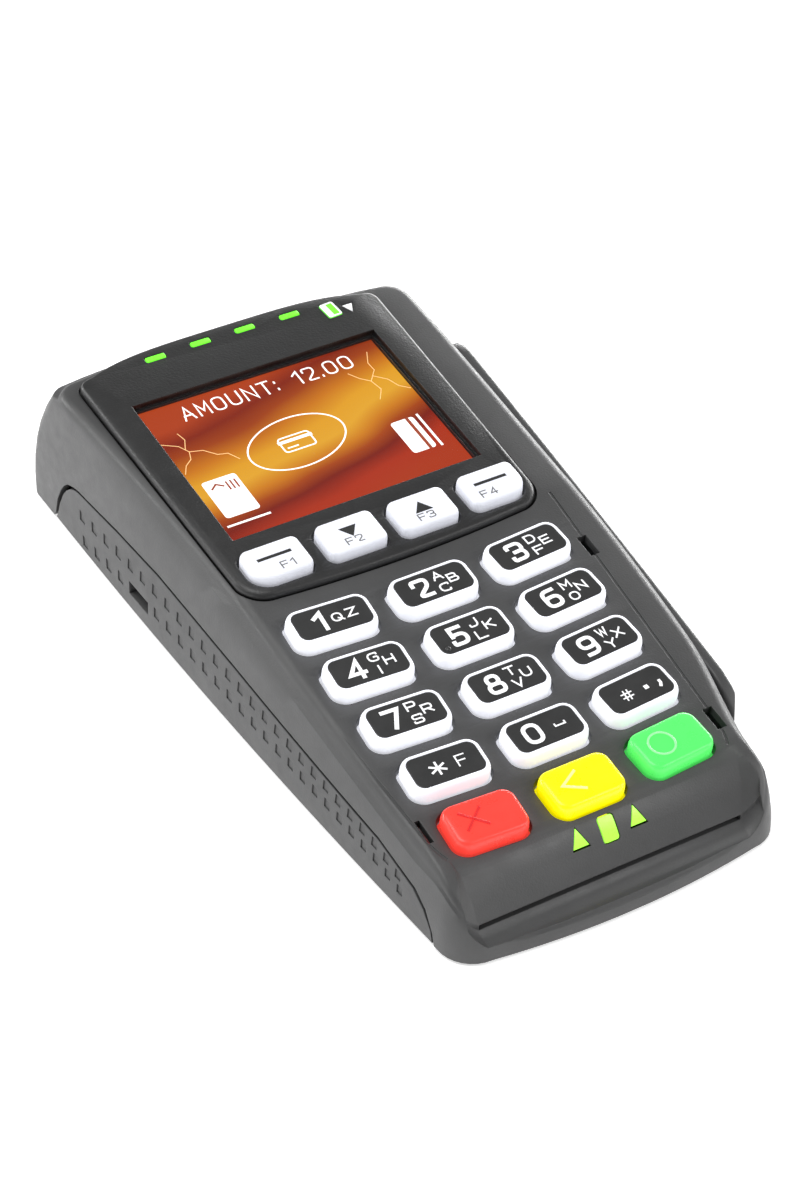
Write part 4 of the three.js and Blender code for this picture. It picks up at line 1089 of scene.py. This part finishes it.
def build_digit_keys():
    body_profile = [(0.55, -3.05), (0.6, -2.9), (0.6, -2.3), (0.5, -2.2), (0.0, -2.2), (0.0, 0.3),
                    (-0.03, 1.2), (-0.14, 1.85), (-0.3, 2.25), (-0.46, 2.44), (-0.66, 2.5),
                    (-0.96, 2.5), (-0.98, 2.3)]
    label_profile = [(-1.02, 2.3), (-1.02, 2.46), (-1.1, 2.5), (-1.3, 2.5)]
    ink = (2.505, 2.53)
    for name, x, y, turned, width, depth in digit_keys():
        where = (on_face, x, y, turned)
        if name == "5":
            five = where
        cap, label = [cap_solid(width, depth, KEY_RADIUS, p) for p in (body_profile, label_profile)]
        key_piece(name, "shell", cap, where, KEY_WHITE, [f"key_{name}"])
        key_piece(name, "label", label, where, LABEL)
        if name == "star":
            marks = lettering("*", -1.7, -0.2, 3.9, 4.4, 0.42, *ink)
            marks += lettering("F", 3.0, -0.05, 2.0, 2.6, 0.28, *ink)
        elif name == "hash":
            marks = lettering("#", -2.3, -0.3, 2.4, 2.9, 0.27, *ink)
            marks.append(prism_z(rect(1.45, 2.35, -0.85, 0.05), *ink))
            marks.append(ribbon([(4.9, -0.35), (4.9, -0.8), (4.55, -1.35)], 0.6, *ink))
        else:
            marks = lettering(name, -2.6, -0.05, 3.7, 4.8, 0.82, *ink)
            letters = KEY_LETTERS.get(name, "")
            spots = [(1.0, -0.1), (3.9, 0.1)] if len(letters) == 2 else [
                (1.5, 1.55), (4.1, 0.05), (1.5, -1.6)]
            for letter, (lx, ly) in zip(letters, spots):
                marks += lettering(letter, lx, ly, 2.15, 2.15, 0.34, *ink)
            if name == "0":
                marks += lettering("_", 3.0, 0.6, 3.0, 2.2, 0.32, *ink)
        key_piece(name, "legend", joined(marks), where, LEGEND_WHITE)
    dot = lathe([(0.6, 2.46), (0.58, 2.6), (0.46, 2.76), (0.22, 2.84)], -5.9, -2.2, 20)
    key_piece("5", "dot", dot, five, LABEL, angle=60)


def build_command_keys():
    profile = [(0.6, -3.5), (0.6, -2.75), (0.0, -2.75), (0.0, 0.6), (-0.04, 1.3), (-0.16, 1.8),
               (-0.38, 2.2), (-0.68, 2.42), (-1.05, 2.5), (-2.2, 2.5)]
    finishes = {"cancel": (KEY_RED, MARK_RED, "key_red"),
                "clear": (KEY_YELLOW, MARK_YELLOW, "key_yellow"),
                "enter": (KEY_GREEN, MARK_GREEN, "key_green")}
    raised = (2.45, 2.62)
    circle = arc(-2.2, 0.1, 2.5, 0, 4, 40)[:-1]
    marks = {
        "cancel": [ribbon([(-4.2, -1.7), (-0.2, 2.1)], 0.5, *raised),
                   ribbon([(-4.2, 2.1), (-0.2, -1.7)], 0.5, *raised)],
        "clear": [ribbon([(-0.5, 2.2), (-4.1, 0.1), (-0.5, -2.0)], 0.5, *raised)],
        "enter": [ribbon(circle, 0.42, *raised, closed=True)],
    }
    cap = cap_solid(COMMAND_WIDTH, COMMAND_DEPTH, COMMAND_RADIUS, profile)
    for name, *spot in COMMANDS:
        material, mark_material, slot = finishes[name]
        key_piece(name, "shell", cap, (on_face, *spot), material, [f"key_{name}"])
        key_piece(name, "mark", joined(marks[name]), (on_face, *spot), mark_material)


def build_function_keys():
    profile = [(0.6, -4.2), (0.6, -3.4), (0.0, -3.4), (0.0, 0.5), (-0.04, 1.1), (-0.14, 1.5),
               (-0.3, 1.8), (-0.5, 1.95), (-0.8, 2.0), (-2.0, 2.0)]
    ink = (2.003, 2.02)
    for name, x, y, radii in FUNCTION_KEYS:
        where = (on_bezel, x, y)
        cap = cap_solid(FUNCTION_WIDTH, FUNCTION_DEPTH, radii, profile)
        key_piece(name, "shell", cap, where, FUNCTION_WHITE, [f"key_{name}"])
        number = name[1]
        if number in "14":
            mark = ribbon([(-3.4, 0.6), (3.0, 0.6)], 0.75, *ink)
        else:
            arrow = prism_z([(-1.9, -1.25), (1.9, -1.25), (0, 1.6)], *ink)
            flip = math.pi if number == "2" else 0.0
            mark = shifted(moved(arrow, Euler((0, 0, flip)).to_matrix().to_4x4()), -0.2, 0.2)
        key_piece(name, "mark", mark, where, LEGEND_DARK)
        text_x = {"1": 1.2, "2": -0.5, "3": -0.5, "4": -2.2}[number]
        text = lettering("F" + number, text_x, -2.3, 1.55, 1.9, 0.26, *ink)
        key_piece(name, "legend", joined(text), where, LEGEND_GREY)


# ---- underside
def build_underside():
    names = ["rear_left", "rear_right", "front_left", "front_right"]
    for name, (x, y) in zip(names, FEET):
        ring = to_object("ring", lathe([(3.0, -1), (3.0, 0.15)], x, y, 48))
        combine(ring, [lathe([(2.4, -1), (2.4, 0.5)], x, y, 48)])
        pad = lathe([(3.9, 0.0), (4.3, 0.12), (4.5, 0.45), (4.5, 0.8)], x, y, 48)
        add_piece(f"foot_{name}_pad", pad, RUBBER, [f"foot_{name}"], cuts=[ring])
        remove(ring)
    for name, (x, y) in zip(names, SCREWS):
        length = 12 if y > 0 else 7
        profile = [(1.35, 0.1), (1.6, 0.2), (1.7, 0.45), (1.7, 0.8), (0.95, 0.8),
                   (0.95, length - 0.6), (0.6, length)]
        cross = [box(x - a, x + a, y - b, y + b, 0, BASE_Z + 0.55)
                 for a, b in ((0.9, 0.2), (0.2, 0.9))]
        add_piece(f"screw_{name}_body", lathe([(r, BASE_Z + z) for r, z in profile], x, y, 32),
                  STEEL, [f"screw_{name}"], cuts=cross)
    x0, x1, y0, y1 = (COVER[0] + GAP, COVER[1] - GAP, COVER[2] + GAP, COVER[3] - GAP)
    plate = prism_z(rounded_rect(x1 - x0, y1 - y0, 1.2, 6), BASE_Z, BASE_Z + 0.9)
    cuts = [lathe([(1.4, 0), (1.4, 3)], 0, COVER[2] + 2.5, 24)]
    for k in range(5):
        y = y1 - 3.5 - 1.4 * k
        cuts.append(box(-5, 5, y - 0.3, y + 0.3, 0, BASE_Z + 0.3))
    add_piece("service_cover_plate", shifted(plate, (x0 + x1) / 2, (y0 + y1) / 2), PANEL,
              ["service_cover"], cuts=cuts)


build_top_housing()
build_bottom_housing()
build_rail()
build_bezel()
build_window()
build_display()
build_lights()
build_digit_keys()
build_command_keys()
build_function_keys()
build_underside()

# ---- CAD nodes that stay
KEPT_FINISHES = {
    BOARD: ["main_board", "keypad_board"],
    STEEL: ["lcd_frame", "security_shield", "backup_battery", "mag_head", "mag_head_spring",
            "service_cover_screw"],
    COPPER: ["antenna_coil", "chip_contact_block"],
    BLACK: ["chip_reader_frame", "connector_socket", "sam_socket", "buzzer"],
    SILICONE: ["keypad_membrane"],
}
for material, names in KEPT_FINISHES.items():
    for name in names:
        nodes[name].data.materials.clear()
        nodes[name].data.materials.append(material)

# ---- floor, light and background
floor = to_object("floor", box(-10000, 10000, -10000, 10000, -2, 0))
floor_material, tree, shader = new_material("floor")
fill(tree, shader, Base_Color=mottled(tree, 3, 2.0, (0.86, 0.86, 0.86), (0.88, 0.88, 0.88)),
     Roughness=0.8, Emission_Color=(1, 1, 1), Emission_Strength=0.55)
floor.data.materials.append(floor_material)

world = bpy.data.worlds.new("studio")
bpy.context.scene.world = world
world.use_nodes = True
world.node_tree.nodes["Background"].inputs["Color"].default_value = (1, 1, 1, 1)
world.node_tree.nodes["Background"].inputs["Strength"].default_value = 0.25

# name, place, target and size in metres, power in watts
AREA_LIGHTS = [
    ("side_light", (-0.9, -0.1, 0.2), (0, 0, 0.02), (0.9, 0.4), 1.5),
    ("rear_left_light", (-0.62, 0.75, 0.34), (0, 0, 0.03), (0.5, 0.25), 4),
    ("rear_right_light", (0.9, 0.65, 0.16), (0, 0, 0.03), (1.1, 0.3), 13),
    ("front_light", (0.46, -0.62, 0.62), (0, -0.07, 0.01), (0.35, 0.25), 2),
    ("front_right_light", (0.7, -0.42, 0.2), (0, -0.07, 0.01), (0.4, 0.25), 1),
    ("top_light", (-0.25, 0.1, 0.9), (0, 0, 0.03), (0.6, 0.6), 5),
]
for name, at, target, size, power in AREA_LIGHTS:
    data = bpy.data.lights.new(name, "AREA")
    data.shape = "RECTANGLE"
    data.size, data.size_y = size
    data.energy = power
    lamp = bpy.data.objects.new(name, data)
    bpy.context.scene.collection.objects.link(lamp)
    lamp.location = at
    lamp.rotation_mode = "QUATERNION"
    lamp.rotation_quaternion = (Vector(target) - Vector(at)).to_track_quat("-Z", "Y")

bpy.context.scene.view_settings.view_transform = "Standard"
